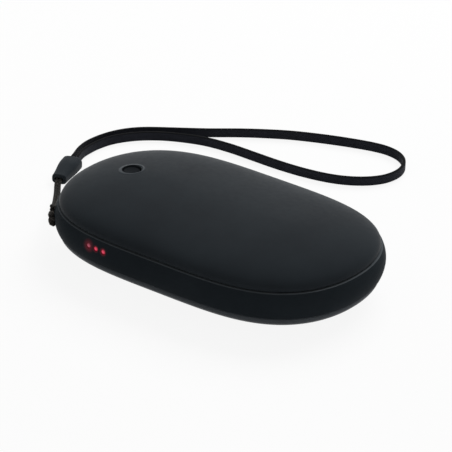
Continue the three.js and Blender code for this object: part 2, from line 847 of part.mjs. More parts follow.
function mainBoard() {
  const boardBottom = boardTop - boardThickness;
  const outline = solidOf(outlineBlock(frameInset + seatGap, boardBottom, boardTop));
  const deepY = bodyWidth / 2;
  const field = solidOf(block(boardStartX, boardEndX, -deepY, deepY, boardBottom - overrun, overrun));
  const arm = solidOf(block(boardEndX - overrun, boardArmEndX, -deepY, boardArmInnerY,
    boardBottom - overrun, overrun));
  const socketNotch = solidOf(block(boardStartX - overrun, outSocketBackX + seatGap,
    outSocketY - outSocketWidth / 2 - seatGap, outSocketY + outSocketWidth / 2 + seatGap,
    boardBottom - overrun, overrun));
  const screwHoles = [-1, 1].map((side) => (
    solidOf(post(screwHole, boardBossX, side * boardBossY, boardBottom - overrun, overrun, smallSides))));
  return without(outline.intersect(field.add(arm)), [socketNotch, ...screwHoles]);
}

function outSocketShell() {
  const corner = 2 * socketSheet;
  const outer = solidOf(alongX(roundedShape(outSocketWidth, outSocketHeight, corner), socketMouthX,
    outSocketBackX, outSocketY, 0));
  const innerWidth = outSocketWidth - 2 * socketSheet;
  const innerHeight = outSocketHeight - 2 * socketSheet;
  const inner = solidOf(alongX(roundedShape(innerWidth, innerHeight, socketSheet), socketMouthX - overrun,
    outSocketBackX - socketSheet, outSocketY, 0));
  return outer.subtract(inner);
}

function outSocketTongue() {
  const backX = outSocketBackX - socketSheet - fineGap;
  const frontX = backX - outTongueLength;
  const roomY = outSocketWidth / 2 - socketSheet - fineGap;
  const roomZ = outSocketHeight / 2 - socketSheet - fineGap;
  const heelX = backX - outTongueThickness;
  const heel = block(heelX, backX, outSocketY - roomY, outSocketY + roomY, -roomZ, roomZ);
  const tongueTop = roomZ - outTongueLift;
  const tongue = block(frontX, heelX + fineGap, outSocketY - roomY + outTongueSideGap,
    outSocketY + roomY - outTongueSideGap, tongueTop - outTongueThickness, tongueTop);
  return solidOf(heel).add(solidOf(tongue));
}

function inSocketShell() {
  const outer = solidOf(alongX(stadium(inSocketWidth, inSocketHeight), socketMouthX, inSocketBackX,
    inSocketY, 0));
  const inner = solidOf(alongX(stadium(inSocketWidth - 2 * socketSheet, inSocketHeight - 2 * socketSheet),
    socketMouthX - overrun, inSocketBackX - socketSheet, inSocketY, 0));
  return outer.subtract(inner);
}

function inSocketTongue() {
  const backX = inSocketBackX - socketSheet - fineGap;
  const frontX = backX - inTongueLength;
  const heelX = backX - inTongueThickness;
  const half = inTongueWidth / 2;
  const heelHalf = inSocketHeight / 2 - socketSheet - fineGap;
  const heel = block(heelX, backX, inSocketY - half, inSocketY + half, -heelHalf, heelHalf);
  const tongue = block(frontX, heelX + fineGap, inSocketY - half, inSocketY + half,
    -inTongueThickness / 2, inTongueThickness / 2);
  return solidOf(heel).add(solidOf(tongue));
}

function inductor() {
  const base = boardTop + seatGap;
  const top = base + inductorHeight;
  const body = solidOf(plate(roundedShape(inductorSide, inductorSide, inductorCorner, inductorX, inductorY),
    base, top));
  const dish = post(inductorCoreDiameter, inductorX, inductorY, top - inductorCoreDepth, top + overrun);
  return body.subtract(solidOf(dish));
}

function chargeChip() {
  const base = boardTop + seatGap;
  return block(chipX - chipSide / 2, chipX + chipSide / 2, chipY - chipSide / 2, chipY + chipSide / 2,
    base, base + chipHeight);
}

function capacitor(index) {
  const base = boardTop + seatGap;
  const radius = capacitorDiameter / 2;
  const x = capacitorX + index * (capacitorDiameter + partSpacing);
  return turned([
    [0, base],
    [radius, base],
    [radius, base + 2 * capacitorGroove],
    [radius - capacitorGroove, base + 3 * capacitorGroove],
    [radius, base + 4 * capacitorGroove],
    [radius, base + capacitorHeight - capacitorGroove],
    [radius - capacitorGroove, base + capacitorHeight],
    [0, base + capacitorHeight],
  ], x, capacitorY, smallSides);
}

function connector(y) {
  const base = boardTop + seatGap;
  const top = base + connectorHeight;
  const halfX = connectorLength / 2;
  const halfY = connectorWidth / 2;
  const body = block(connectorX - halfX, connectorX + halfX, y - halfY, y + halfY, base, top);
  const well = block(connectorX - halfX + connectorWall, connectorX + halfX - connectorWall,
    y - halfY + connectorWall, y + halfY - connectorWall, base + connectorFloor, top + overrun);
  return solidOf(body).subtract(solidOf(well));
}

// Battery pouch with its end seal, protection board and tabs

const guardEndX = sealEndX + guardWidth;
const guardBase = sealThickness / 2 + seatGap;

function batteryPouch() {
  const section = roundedShape(pouchWidth, pouchThickness, pouchEdgeRadius);
  const plan = plate(roundedShape(pouchLength, pouchWidth, pouchCorner, pouchMiddleX, 0), -pouchThickness,
    pouchThickness);
  const body = solidOf(alongX(section, pouchStartX, pouchEndX, 0, 0)).intersect(solidOf(plan));
  const sealHalf = pouchWidth / 2 - sealSideGap;
  const seal = block(sealEndX, pouchStartX + overrun, -sealHalf, sealHalf,
    -sealThickness / 2, sealThickness / 2);
  return body.add(solidOf(seal));
}

function protectionBoard() {
  return block(sealEndX, guardEndX, -guardLength / 2, guardLength / 2, guardBase, guardBase + guardThickness);
}

function protectionChip() {
  const middleX = (sealEndX + guardEndX) / 2;
  const base = guardBase + guardThickness + seatGap;
  return block(middleX - guardChipWidth / 2, middleX + guardChipWidth / 2, -guardChipLength / 2,
    guardChipLength / 2, base, base + guardChipHeight);
}

// A nickel tab comes out of the seal and folds over onto the protection board
function cellTab(side) {
  const outerX = sealEndX - seatGap - tabSheet;
  const innerX = outerX + tabSheet;
  const underside = guardBase + guardThickness + seatGap;
  const topside = underside + tabSheet;
  const y = side * tabOffsetShare * guardLength;
  const half = tabWidth / 2;
  const leg = block(outerX, innerX, y - half, y + half, -sealThickness / 2, topside);
  const flap = block(outerX, outerX + tabReach, y - half, y + half, underside, topside);
  return solidOf(leg).add(solidOf(flap));
}

function batteryTray() {
  const innerLength = pouchLength + 2 * seatGap;
  const innerWidth = pouchWidth + 2 * seatGap;
  const outerLength = innerLength + 2 * trayWall;
  const outerWidth = innerWidth + 2 * trayWall;
  const high = pouchThickness / 2 - trayEdgeDrop;
  const outerShape = roundedShape(outerLength, outerWidth, trayCorner, pouchMiddleX, 0);
  const innerShape = roundedShape(innerLength, innerWidth, trayCorner - trayWall, pouchMiddleX, 0);
  const outer = solidOf(plate(outerShape, -high, high));
  const room = solidOf(plate(innerShape, -high - overrun, high + overrun));
  const doorHalf = pouchWidth / 2 - sealSideGap + seatGap;
  const sealDoor = solidOf(block(pouchStartX - seatGap - trayWall - overrun, pouchStartX, -doorHalf, doorHalf,
    -sealThickness / 2 - seatGap, high + overrun));
  const barTop = -pouchThickness / 2 - seatGap;
  const bars = [-1, 0, 1].map((step) => {
    const x = pouchMiddleX + step * trayBarPitchShare * pouchLength;
    const half = trayBarWidth / 2;
    const cross = solidOf(block(x - half, x + half, -outerWidth / 2, outerWidth / 2,
      barTop - trayBarThickness, barTop));
    const legs = [-1, 1].map((side) => {
      const inner = side * innerWidth / 2;
      const edge = side * outerWidth / 2;
      return solidOf(block(x - half, x + half, Math.min(inner, edge), Math.max(inner, edge),
        barTop - trayBarThickness, 0));
    });
    return joined([cross, ...legs]);
  });
  const earBase = bossHalfHeight + seatGap;
  const ears = trayScrewPlaces().map(([x, y]) => {
    const side = Math.sign(y);
    const rootY = side * (innerWidth / 2 + trayWall / 2);
    const earRadius = bossDiameter / 2;
    const pad = solidOf(post(bossDiameter, x, y, earBase, earBase + earThickness));
    const web = solidOf(block(x - earRadius, x + earRadius, Math.min(rootY, y), Math.max(rootY, y),
      earBase, earBase + earThickness));
    const hole = solidOf(post(screwHole, x, y, earBase - overrun, earBase + earThickness + overrun,
      smallSides));
    return pad.add(web).subtract(hole);
  });
  return joined([without(outer, [room, sealDoor]), ...bars, ...ears]);
}

// Screws

function trayScrewPlaces() {
  return bossPlaces().filter(([x]) => x !== boardBossX);
}

function screw(x, y, seat, isUp) {
  const reach = isUp ? 1 : -1;
  const tip = seat + reach * (screwGrip + earThickness);
  const head = seat - reach * screwHeadHeight;
  const profile = [
    [0, tip],
    [screwDiameter / 2, tip],
    [screwDiameter / 2, seat],
    [screwHeadDiameter / 2, seat],
    [screwHeadDiameter / 2, head],
    [0, head],
  ];
  return turned(isUp ? profile.reverse() : profile, x, y, smallSides);
}

// Heater films follow the inside of the covers, and foam fills the room down to the pouch

const filmLength = pouchLength + 2 * filmOverhang;
const filmWidth = pouchWidth - 2 * filmSideInset;
const filmStartX = pouchMiddleX - filmLength / 2;

function heaterFilm() {
  const shape = roundedShape(filmLength, filmWidth, filmCorner, pouchMiddleX, 0);
  const outer = innerDome(seatGap, topFlatShare, sheetTurns);
  const sheet = outer.subtract(innerDome(seatGap + filmThickness, topFlatShare, sheetTurns));
  return sheet.intersect(solidOf(plate(shape, coverBase, coverBase + domeRise)));
}

function foamPad(base) {
  const foamLength = pouchLength - 2 * foamEndInset;
  const foamWidth = pouchWidth - 2 * foamSideInset;
  const shape = roundedShape(foamLength, foamWidth, foamCorner, pouchMiddleX, 0);
  const room = innerDome(2 * seatGap + filmThickness, topFlatShare, sheetTurns);
  return room.intersect(solidOf(plate(shape, base, coverBase + domeRise)));
}

function thermistor() {
  const beadX = pouchStartX + beadOffset;
  const under = domeHeight(beadX, 0, frameInset, innerRise) - 2 * seatGap - filmThickness;
  const geometry = new THREE.SphereGeometry(beadDiameter / 2, smallSides, smallSides / 2);
  geometry.translate(beadX, 0, under - beadDiameter / 2);
  return geometry;
}

// Leads between the boards and the heaters. Each runs from a connector to its end through points
// that are shares of the way there.
const batteryLeadShares = [[0, 0, 0], [0.35, 0.14, 0.2], [0.55, 0.45, 0.7], [0.8, 0.8, 1], [1, 1, 1]];
const heaterLeadShares = [
  [0, 0, 0], [0.2, 0.04, 0.16], [0.36, 0.24, 0.47], [0.51, 0.57, 0.76], [0.83, 0.9, 0.93], [1, 1, 1],
];

function lead(side, pair, end, shares) {
  const start = new THREE.Vector3(
    connectorX + connectorLength / 2 + leadExitGap,
    side * connectorY + pair * leadPairPitch / 2,
    leadExitHeight,
  );
  const way = end.clone().sub(start);
  const route = shares.map(([x, y, z]) => [start.x + x * way.x, start.y + y * way.y, start.z + z * way.z]);
  return drawnAlong(smoothPath(route), roundSection(leadDiameter, leadSides), leadSteps);
}

function batteryLead(isPlus) {
  const edge = -guardLength / 2;
  const besideBoard = new THREE.Vector3(sealEndX - leadExitGap, edge + tabWidth / 2, leadTabHeight);
  const atBoardEnd = new THREE.Vector3(
    (sealEndX + guardEndX) / 2,
    edge - leadDiameter / 2 - leadTabGap,
    leadTabHeight,
  );
  return isPlus ? lead(-1, 1, besideBoard, batteryLeadShares) : lead(-1, -1, atBoardEnd, batteryLeadShares);
}

function heaterLead(isTop) {
  const x = filmStartX - leadExitGap;
  const y = filmWidth / 4;
  const z = domeHeight(x, y, frameInset, innerRise) - seatGap - leadFilmDrop;
  return lead(1, isTop ? -1 : 1, new THREE.Vector3(x, y, isTop ? z : -z), heaterLeadShares);
}

// Lanyard string: a bight behind the bridge, a knot on the band and two strands to the clasp

const knotOffset = seatGap + knotThickness / 2;

function stringBight() {
  const bend = bightHalfWidth - stringDiameter / 2;
  const deep = -bightDepth;
  const end = seatGap;
  const path = new THREE.CurvePath();
  const places = [
    [-bightHalfWidth, end],
    [-bightHalfWidth, deep + bend],
    [-bightHalfWidth, deep],
    [bend - bightHalfWidth, deep],
    [bightHalfWidth - bend, deep],
    [bightHalfWidth, deep],
    [bightHalfWidth, deep + bend],
    [bightHalfWidth, end],
  ].map(([along, outward]) => new THREE.Vector3(along, outward, 0));
  path.add(new THREE.LineCurve3(places[0], places[1]));
  path.add(new THREE.QuadraticBezierCurve3(places[1], places[2], places[3]));
  path.add(new THREE.LineCurve3(places[3], places[4]));
  path.add(new THREE.QuadraticBezierCurve3(places[4], places[5], places[6]));
  path.add(new THREE.LineCurve3(places[6], places[7]));
  const tube = drawnAlong(path, roundSection(stringDiameter, cordSides), stringSteps);
  return placedOnOutline(tube, lanyardX, lanyardY);
}

function stringKnot() {
  const geometry = new THREE.SphereGeometry(1, roundSides / 2, smallSides);
  geometry.rotateX(Math.PI / 2);
  geometry.scale(knotLength / 2, knotThickness / 2, knotHeight / 2);
  geometry.translate(0, knotOffset, -knotDrop);
  return placedOnOutline(geometry, lanyardX, lanyardY);
}

// Middle line between the two strands, from the knot down to the table and up into the bore of the clasp
const stringRoute = [
  [-45.6, -18.7, 12.6], [-47.2, -16.4, 10.9], [-48.9, -14.2, 9.4], [-50.9, -11.7, 7.9], [-53, -9, 6.4],
  [-55.3, -6.2, 5], [-57.4, -3.5, 3.8], [-59.4, -0.9, 2.8], [-61.4, 1.7, 2], [-63.3, 4.1, 1.4],
  [-65, 6.3, 1], [-66.5, 8.2, 0.8], [-67.8, 9.8, 0.85], [-68.8, 11.1, 1.15], [-69.5, 12.2, 1.45],
  [-70.05, 13.4, 1.6], [-70.6, 15.1, 1.6],
];

// The strands lie beside each other on the table, and one hangs over the other at the knot
function stringStrand(side) {
  const reach = (side * stringPitch) / 2;
  const places = stringRoute.map((place) => new THREE.Vector3(...place));
  const lowest = Math.min(...places.map((place) => place.z));
  const route = places.map((place, index) => {
    const before = places[Math.max(index - 1, 0)];
    const after = places[Math.min(index + 1, places.length - 1)];
    const ahead = after.clone().sub(before).normalize();
    const beside = new THREE.Vector3(ahead.y, -ahead.x, 0).normalize();
    const over = beside.clone().cross(ahead);
    const turn = ((Math.PI / 2) * (place.z - lowest)) / (places[0].z - lowest);
    return place.clone()
      .addScaledVector(beside, reach * Math.cos(turn))
      .addScaledVector(over, reach * Math.sin(turn));
  });
  return drawnAlong(smoothPath(route), roundSection(stringDiameter, cordSides), stringSteps);
}

// Clasp: a tapered moulding that holds the string in its narrow end and the webbing in its mouth

function claspSection(width, height, along) {
  const ring = [];
  for (let side = 0; side < roundSides; side += 1) {
    const turn = (-2 * Math.PI * side) / roundSides;
    const across = Math.cos(turn);
    const up = Math.sin(turn);
    ring.push(new THREE.Vector3(
      (width / 2) * Math.sign(across) * Math.abs(across) ** (2 / endPower),
      along,
      height / 2 + (height / 2) * Math.sign(up) * Math.abs(up) ** (2 / endPower),
    ));
  }
  return ring;
}

function strapClasp() {
  const edge = claspWall;
  const swell = claspLength - claspMouthDepth;
  const body = loft([
    claspSection(claspEndWidth - 2 * edge, claspEndHeight - edge, 0),
    claspSection(claspEndWidth, claspEndHeight, edge),
    claspSection((claspEndWidth + claspMouthWidth) / 2, (claspEndHeight + claspMouthHeight) / 2, swell / 2),
    claspSection(claspMouthWidth, claspMouthHeight, swell),
    claspSection(claspMouthWidth - edge, claspMouthHeight, claspLength),
  ]);
  const roomX = claspMouthWidth / 2 - 2 * edge;
  const mouth = block(-roomX, roomX, claspLength - claspMouthDepth, claspLength + overrun,
    edge, claspMouthHeight - edge);
  const boreX = stringPitch / 2 + stringDiameter / 2 + seatGap;
  const boreZ = stringDiameter / 2 + fineGap;
  const boreMiddle = claspEndHeight / 2;
  const bore = block(-boreX, boreX, -overrun, claspBoreDepth, boreMiddle - boreZ, boreMiddle + boreZ);
  return solidOf(body).subtract(solidOf(mouth)).subtract(solidOf(bore));
}

// Webbing of the strap, standing on its edge, from the clasp round the loop and back.
// It comes down from the clasp's mouth on to the surface that it stands on.
const webbingRoute = [
  [-73.8, 22, 2.15], [-74.5, 24, 2.15], [-75.8, 27.3, 2], [-77.2, 30.5, 1.85], [-78.2, 33.7, 1.7],
  [-78.7, 37, 1.58], [-78.4, 41.7, 1.51], [-77.3, 46.1, 1.5], [-75.6, 49.8, 1.5], [-73.4, 52.9, 1.5],
  [-70.8, 55.5, 1.5], [-67.8, 57.8, 1.5], [-61.9, 62, 1.5], [-55.9, 66.3, 1.5], [-47.3, 73.1, 1.5],
  [-41.2, 77.3, 1.5], [-34.9, 81.1, 1.5], [-28.1, 84.3, 1.5], [-21.1, 87.1, 1.5], [-13.9, 89.5, 1.5],
  [-10, 90.5, 1.5], [-5.9, 91, 1.5], [-1.8, 90.4, 1.5], [1.4, 88.8, 1.5], [3.8, 86.4, 1.5],
  [5.4, 83.3, 1.5], [6, 79.8, 1.5], [5.2, 75.3, 1.5], [3.2, 71.9, 1.5], [0.4, 69.1, 1.5],
  [-3.8, 66.4, 1.5], [-9.1, 64.4, 1.5], [-16.9, 62.9, 1.5], [-25.4, 62.3, 1.5], [-34.4, 62.3, 1.5],
  [-43.5, 62.3, 1.5], [-52, 61.3, 1.5], [-59.3, 58.8, 1.5], [-65.8, 55.3, 1.5], [-71.2, 50.5, 1.5],
  [-75, 44.4, 1.5], [-76.3, 38.8, 1.52], [-76.3, 35, 1.6], [-75.8, 31.5, 1.8], [-74.8, 28.6, 2],
  [-73.6, 26, 2.15], [-72.7, 24.2, 2.15], [-72, 22.4, 2.15],
];

function wristStrap() {
  const high = webbingWidth / 2;
  const half = webbingThickness / 2;
  const section = new THREE.Shape();
  section.moveTo(high, half - webbingEdge);
  section.lineTo(high - webbingEdge, half);
  section.lineTo(webbingEdge - high, half);
  section.lineTo(-high, half - webbingEdge);
  section.lineTo(-high, webbingEdge - half);
  section.lineTo(webbingEdge - high, -half);
  section.lineTo(high - webbingEdge, -half);
  section.lineTo(high, webbingEdge - half);
  section.closePath();
  return drawnAlong(smoothPath(webbingRoute), section, webbingSteps);
}

// The warmer
addPiece('top_cover', topCover(), materials.cover);
addPiece('bottom_cover', bottomCover(), materials.cover);
addPiece('middle_frame', middleFrame(), materials.frame);
addPiece('power_button', powerButton(), materials.button);
addPiece('switch_plunger', switchPlunger(), materials.button);
addPiece('switch_body', switchBody(), materials.chip);
addPiece('main_board', mainBoard(), materials.board);
addPiece('output_socket_shell', outSocketShell(), materials.steel);
addPiece('output_socket_tongue', outSocketTongue(), materials.chip);
addPiece('charge_socket_shell', inSocketShell(), materials.steel);
addPiece('charge_socket_tongue', inSocketTongue(), materials.chip);
addPiece('inductor', inductor(), materials.ferrite);
addPiece('charge_chip', chargeChip(), materials.chip);
for (let index = 0; index < 2; index += 1) {
  addPiece(`capacitor_${index + 1}`, capacitor(index), materials.steel);
}
addPiece('battery_connector', connector(-connectorY), materials.connector);
addPiece('heater_connector', connector(connectorY), materials.connector);
for (let index = 0; index < lightCount; index += 1) {
  addPiece(`charge_led_${index + 1}`, lightDiode(index), materials.led);
  addPiece(`light_pipe_${index + 1}`, lightPipe(index), materials.light);
}
addPiece('battery_pouch', batteryPouch(), materials.pouch);
addPiece('protection_board', protectionBoard(), materials.board);
addPiece('protection_chip', protectionChip(), materials.chip);
addPiece('cell_tab_plus', cellTab(-1), materials.nickel);
addPiece('cell_tab_minus', cellTab(1), materials.nickel);
addPiece('battery_tray', batteryTray(), materials.tray);
trayScrewPlaces().forEach(([x, y], index) => {
  const seat = bossHalfHeight + 2 * seatGap + earThickness;
  addPiece(`tray_screw_${index + 1}`, screw(x, y, seat, false), materials.steel);
});
[-1, 1].forEach((side, index) => {
  const seat = boardTop - boardThickness - seatGap;
  addPiece(`board_screw_${index + 1}`, screw(boardBossX, side * boardBossY, seat, true), materials.steel);
});
addPiece('heater_film_top', heaterFilm(), materials.film);
addPiece('heater_film_bottom', mirrored(geometryOf(heaterFilm())), materials.film);
addPiece('foam_pad_top', foamPad(pouchThickness / 2 + seatGap), materials.foam);
const foamBottomBase = pouchThickness / 2 + 2 * seatGap + trayBarThickness;
addPiece('foam_pad_bottom', mirrored(geometryOf(foamPad(foamBottomBase))), materials.foam);
addPiece('thermistor', thermistor(), materials.chip);
addPiece('lead_battery_plus', batteryLead(true), materials.redLead);
addPiece('lead_battery_minus', batteryLead(false), materials.blackLead);
addPiece('lead_heater_top', heaterLead(true), materials.redLead);
addPiece('lead_heater_bottom', heaterLead(false), materials.blackLead);

// The strap
addPiece('string_bight', stringBight(), materials.string);
addPiece('string_knot', stringKnot(), materials.string);
addPiece('string_strand_upper', stringStrand(1), materials.string, strapAndWarmer);
addPiece('string_strand_lower', stringStrand(-1), materials.string, strapAndWarmer);
const claspGroup = new THREE.Group();
claspGroup.position.set(claspX, claspY, claspLift);
claspGroup.rotation.z = THREE.MathUtils.degToRad(claspTurn);
strapAndWarmer.add(claspGroup);
addPiece('strap_clasp', strapClasp(), materials.clasp, claspGroup);
addPiece('wrist_strap', wristStrap(), materials.webbing, strapAndWarmer);

export default strapAndWarmer;
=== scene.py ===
import math

import bpy
import numpy as np
from mathutils import Matrix, Vector


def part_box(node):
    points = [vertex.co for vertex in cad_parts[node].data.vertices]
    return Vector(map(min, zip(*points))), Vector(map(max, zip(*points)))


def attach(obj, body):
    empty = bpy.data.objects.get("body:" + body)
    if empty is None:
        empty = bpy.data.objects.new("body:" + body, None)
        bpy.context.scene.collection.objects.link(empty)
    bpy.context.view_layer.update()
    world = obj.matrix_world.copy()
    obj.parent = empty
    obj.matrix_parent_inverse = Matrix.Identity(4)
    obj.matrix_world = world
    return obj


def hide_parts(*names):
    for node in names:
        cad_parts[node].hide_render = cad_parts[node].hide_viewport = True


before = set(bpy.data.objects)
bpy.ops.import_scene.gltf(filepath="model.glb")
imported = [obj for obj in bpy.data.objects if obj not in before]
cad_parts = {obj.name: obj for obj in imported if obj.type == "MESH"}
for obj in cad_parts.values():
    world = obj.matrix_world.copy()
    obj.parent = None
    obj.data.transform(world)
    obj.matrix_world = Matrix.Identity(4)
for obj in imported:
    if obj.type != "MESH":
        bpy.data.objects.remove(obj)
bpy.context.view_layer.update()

MM = 0.001

# Sizes of the body, in millimetres, as in the part's source
BODY_LENGTH = 100
BODY_WIDTH = 61.4
BAND_HEIGHT = 8
BAND_BULGE = 1.3
DOME_RISE = 7.6
END_POWER = 3.75
SIDE_POWER = 2.1
DOME_POWER = 1.5
RIM_POWER = 2.4
REST_FLAT_SHARE = 0.2
SEAT_GAP = 0.3
COVER_WALL = 1.4
FENCE = 1
LIP = 1
LIP_DEPTH = 1.7

HALF_LENGTH = BODY_LENGTH / 2
HALF_WIDTH = BODY_WIDTH / 2
COVER_BASE = BAND_HEIGHT / 2 + SEAT_GAP / 2
COVER_RISE = DOME_RISE - SEAT_GAP / 2
BAND_EDGE = BAND_HEIGHT / 2 - SEAT_GAP / 2
LIP_INSET = BAND_BULGE + FENCE + SEAT_GAP
BORE_INSET = LIP_INSET + LIP


def dome_level(share):
    """Height share of a dome at a level: 1 at its middle, 0 at its rim."""
    return (1 - share**DOME_POWER) ** (1 / RIM_POWER)


MIDDLE = COVER_BASE + COVER_RISE * dome_level(REST_FLAT_SHARE)

# Camera, from the fit of the body's outline. Its pixels are those of the photograph
FRAME_PIXELS = 452
FOCAL_PIXELS = 3199.7
PRINCIPAL_PIXEL = (217.5, 234.9)
CAMERA_PLACE = (486.0, -633.8, 414.8)
CAMERA_RIGHT = (0.790, 0.613, 0.0105)
CAMERA_UP = (-0.290, 0.3585, 0.8874)
SENSOR = 36
NEAREST = 0.02
FARTHEST = 20


def make_camera():
    data = bpy.data.cameras.new("camera")
    camera = bpy.data.objects.new("camera", data)
    bpy.context.scene.collection.objects.link(camera)
    data.sensor_width = SENSOR
    data.lens = FOCAL_PIXELS / FRAME_PIXELS * SENSOR
    data.shift_x = (FRAME_PIXELS / 2 - PRINCIPAL_PIXEL[0]) / FRAME_PIXELS
    data.shift_y = (PRINCIPAL_PIXEL[1] - FRAME_PIXELS / 2) / FRAME_PIXELS
    data.clip_start = NEAREST
    data.clip_end = FARTHEST
    right = Vector(CAMERA_RIGHT).normalized()
    up = Vector(CAMERA_UP)
    up = (up - right * up.dot(right)).normalized()
    turn = Matrix((right, up, right.cross(up))).transposed()
    place = Vector(CAMERA_PLACE) + Vector((0, 0, MIDDLE))
    camera.matrix_world = Matrix.Translation(place * MM) @ turn.to_4x4()
    bpy.context.scene.camera = camera


make_camera()


# Meshes

SMOOTH_ANGLE = 35


def shade(mesh, smooth_angle=SMOOTH_ANGLE):
    """Smooth shading. Edges sharper than the angle stay sharp."""
    mesh.shade_smooth()
    mesh.set_sharp_from_angle(angle=math.radians(smooth_angle))


def make_object(name, points, faces, smooth_angle=SMOOTH_ANGLE):
    """A mesh object from points in metres."""
    mesh = bpy.data.meshes.new(name)
    mesh.from_pydata([tuple(p) for p in points], [], faces)
    mesh.validate()
    shade(mesh, smooth_angle)
    piece = bpy.data.objects.new(name, mesh)
    bpy.context.scene.collection.objects.link(piece)
    return piece


def loft_faces(rings, count, closed):
    """Quads over rings of count points, with a cap on each end unless the last ring meets the first."""
    faces = []
    for level in range(rings if closed else rings - 1):
        low = level * count
        high = (level + 1) % rings * count
        for step in range(count):
            after = (step + 1) % count
            faces.append((low + step, low + after, high + after, high + step))
    if not closed:
        faces.append(tuple(range(count))[::-1])
        faces.append(tuple(range((rings - 1) * count, rings * count)))
    return faces


def loft(name, rings, closed=False, smooth_angle=SMOOTH_ANGLE):
    """A skin over rings of points in millimetres."""
    rings = np.asarray(rings, float)
    faces = loft_faces(len(rings), rings.shape[1], closed)
    return make_object(name, rings.reshape(-1, 3) * MM, faces, smooth_angle)


def turned_inside_out(piece):
    piece.data.flip_normals()
    return piece


def full_turn(count):
    return np.linspace(0, 2 * math.pi, count, endpoint=False)


def quarter_turn(count):
    return np.linspace(0, math.pi / 2, count)


def quarter_arc(radius, count):
    """Along a quarter of a circle: the way gone on one axis, and the way left on the other."""
    return [(radius * (1 - math.cos(turn)), radius * (1 - math.sin(turn))) for turn in quarter_turn(count)]


def placed(points, matrix):
    turn = np.array(matrix, float)
    return np.asarray(points, float) @ turn[:3, :3].T + turn[:3, 3]


# Lines

def distances(line):
    """The way along the line at each of its points."""
    return np.concatenate([[0], np.cumsum(np.linalg.norm(np.diff(line, axis=0), axis=1))])


def directions(line):
    ahead = np.gradient(line, axis=0)
    return ahead / np.linalg.norm(ahead, axis=1)[:, None]


def smooth_line(places, step):
    """A centripetal Catmull-Rom curve through the places, with points at even distances."""
    p = np.asarray(places, float)
    p = np.vstack([2 * p[0] - p[1], p, 2 * p[-1] - p[-2]])
    fine = []
    share = np.linspace(0, 1, 40, endpoint=False)[:, None]
    for i in range(1, len(p) - 2):
        d0, d1, d2 = (np.linalg.norm(p[k + 1] - p[k]) ** 0.5 for k in (i - 1, i, i + 1))
        t1 = ((p[i] - p[i - 1]) / d0 - (p[i + 1] - p[i - 1]) / (d0 + d1) + (p[i + 1] - p[i]) / d1) * d1
        t2 = ((p[i + 1] - p[i]) / d1 - (p[i + 2] - p[i]) / (d1 + d2) + (p[i + 2] - p[i + 1]) / d2) * d1
        c2 = -3 * p[i] + 3 * p[i + 1] - 2 * t1 - t2
        c3 = 2 * p[i] - 2 * p[i + 1] + t1 + t2
        fine.append(p[i] + t1 * share + c2 * share**2 + c3 * share**3)
    line = np.vstack([*fine, p[-2:-1]])
    along = distances(line)
    at = np.linspace(0, along[-1], max(2, round(along[-1] / step) + 1))
    return np.stack([np.interp(at, along, line[:, k]) for k in range(3)], axis=1)


def line_frames(line, first_side):
    """Two directions across the line at each of its points, turning as little as they can."""
    ahead = directions(line)
    side = np.array(first_side, float)
    sides = []
    for direction in ahead:
        side = side - direction * side.dot(direction)
        side = side / np.linalg.norm(side)
        sides.append(side)
    sides = np.array(sides)
    return sides, np.cross(ahead, sides)


def tube_rings(line, radius, sides, first_side=(0, 0, 1)):
    """Rings round the line. The radius has a row for each of the line's points."""
    across, up = line_frames(line, first_side)
    turn = full_turn(sides)[None, :, None]
    spokes = np.cos(turn) * across[:, None] + np.sin(turn) * up[:, None]
    return line[:, None] + radius[:, :, None] * spokes


# Outline of the body, seen from above

OUTLINE_STEPS = 288
FINE_STEPS = 14400
BAND_CURVE = 0.95


def signed_power(value, power):
    return np.sign(value) * np.abs(value) ** power


def outline(half_length, half_width, turns):
    return np.stack([
        half_length * signed_power(np.cos(turns), 2 / END_POWER),
        half_width * signed_power(np.sin(turns), 2 / SIDE_POWER),
    ], axis=1)


def even_turns(count):
    """Turns that put the outline's points at even distances along it."""
    turns = np.linspace(0, 2 * math.pi, FINE_STEPS + 1)
    lengths = distances(outline(HALF_LENGTH, HALF_WIDTH, turns))
    return np.interp(np.arange(count) / count * lengths[-1], lengths, turns)


TURNS = even_turns(OUTLINE_STEPS)


def inset_ring(inset, z):
    points = outline(HALF_LENGTH - inset, HALF_WIDTH - inset, TURNS)
    return np.concatenate([points, np.full((len(points), 1), z)], axis=1)


def outline_y(inset, x):
    share = abs(x) / (HALF_LENGTH - inset)
    return (HALF_WIDTH - inset) * (1 - share**END_POWER) ** (1 / SIDE_POWER)


def outline_x(inset, y):
    share = abs(y) / (HALF_WIDTH - inset)
    return (HALF_LENGTH - inset) * (1 - share**SIDE_POWER) ** (1 / END_POWER)


def bulge_inset(z):
    """How far the band's side is drawn in at a height over its middle."""
    return BAND_CURVE * (z / (BAND_HEIGHT / 2)) ** 2


def outline_frame(x, y):
    """Matrix with X along the outline, Y outward and Z up, at a place on the outer outline."""
    outward = Vector((
        math.copysign((abs(x) / HALF_LENGTH) ** (END_POWER - 1) * END_POWER, x) / HALF_LENGTH,
        math.copysign((abs(y) / HALF_WIDTH) ** (SIDE_POWER - 1) * SIDE_POWER, y) / HALF_WIDTH,
        0,
    )).normalized()
    beside = Vector((outward.y, -outward.x, 0))
    turn = Matrix((beside, outward, Vector((0, 0, 1)))).transposed().to_4x4()
    return Matrix.Translation(Vector((x, y, 0))) @ turn


# Cutting and joining

AXES = {"X": (1, 2, 0), "Y": (2, 0, 1)}


def rounded_rectangle(width, height, radius, steps=8):
    points = []
    for number, (sx, sy) in enumerate([(1, 1), (-1, 1), (-1, -1), (1, -1)]):
        for step in range(steps + 1):
            turn = (number + step / steps) * math.pi / 2
            points.append((sx * (width / 2 - radius) + radius * math.cos(turn),
                           sy * (height / 2 - radius) + radius * math.sin(turn)))
    return np.array(points)


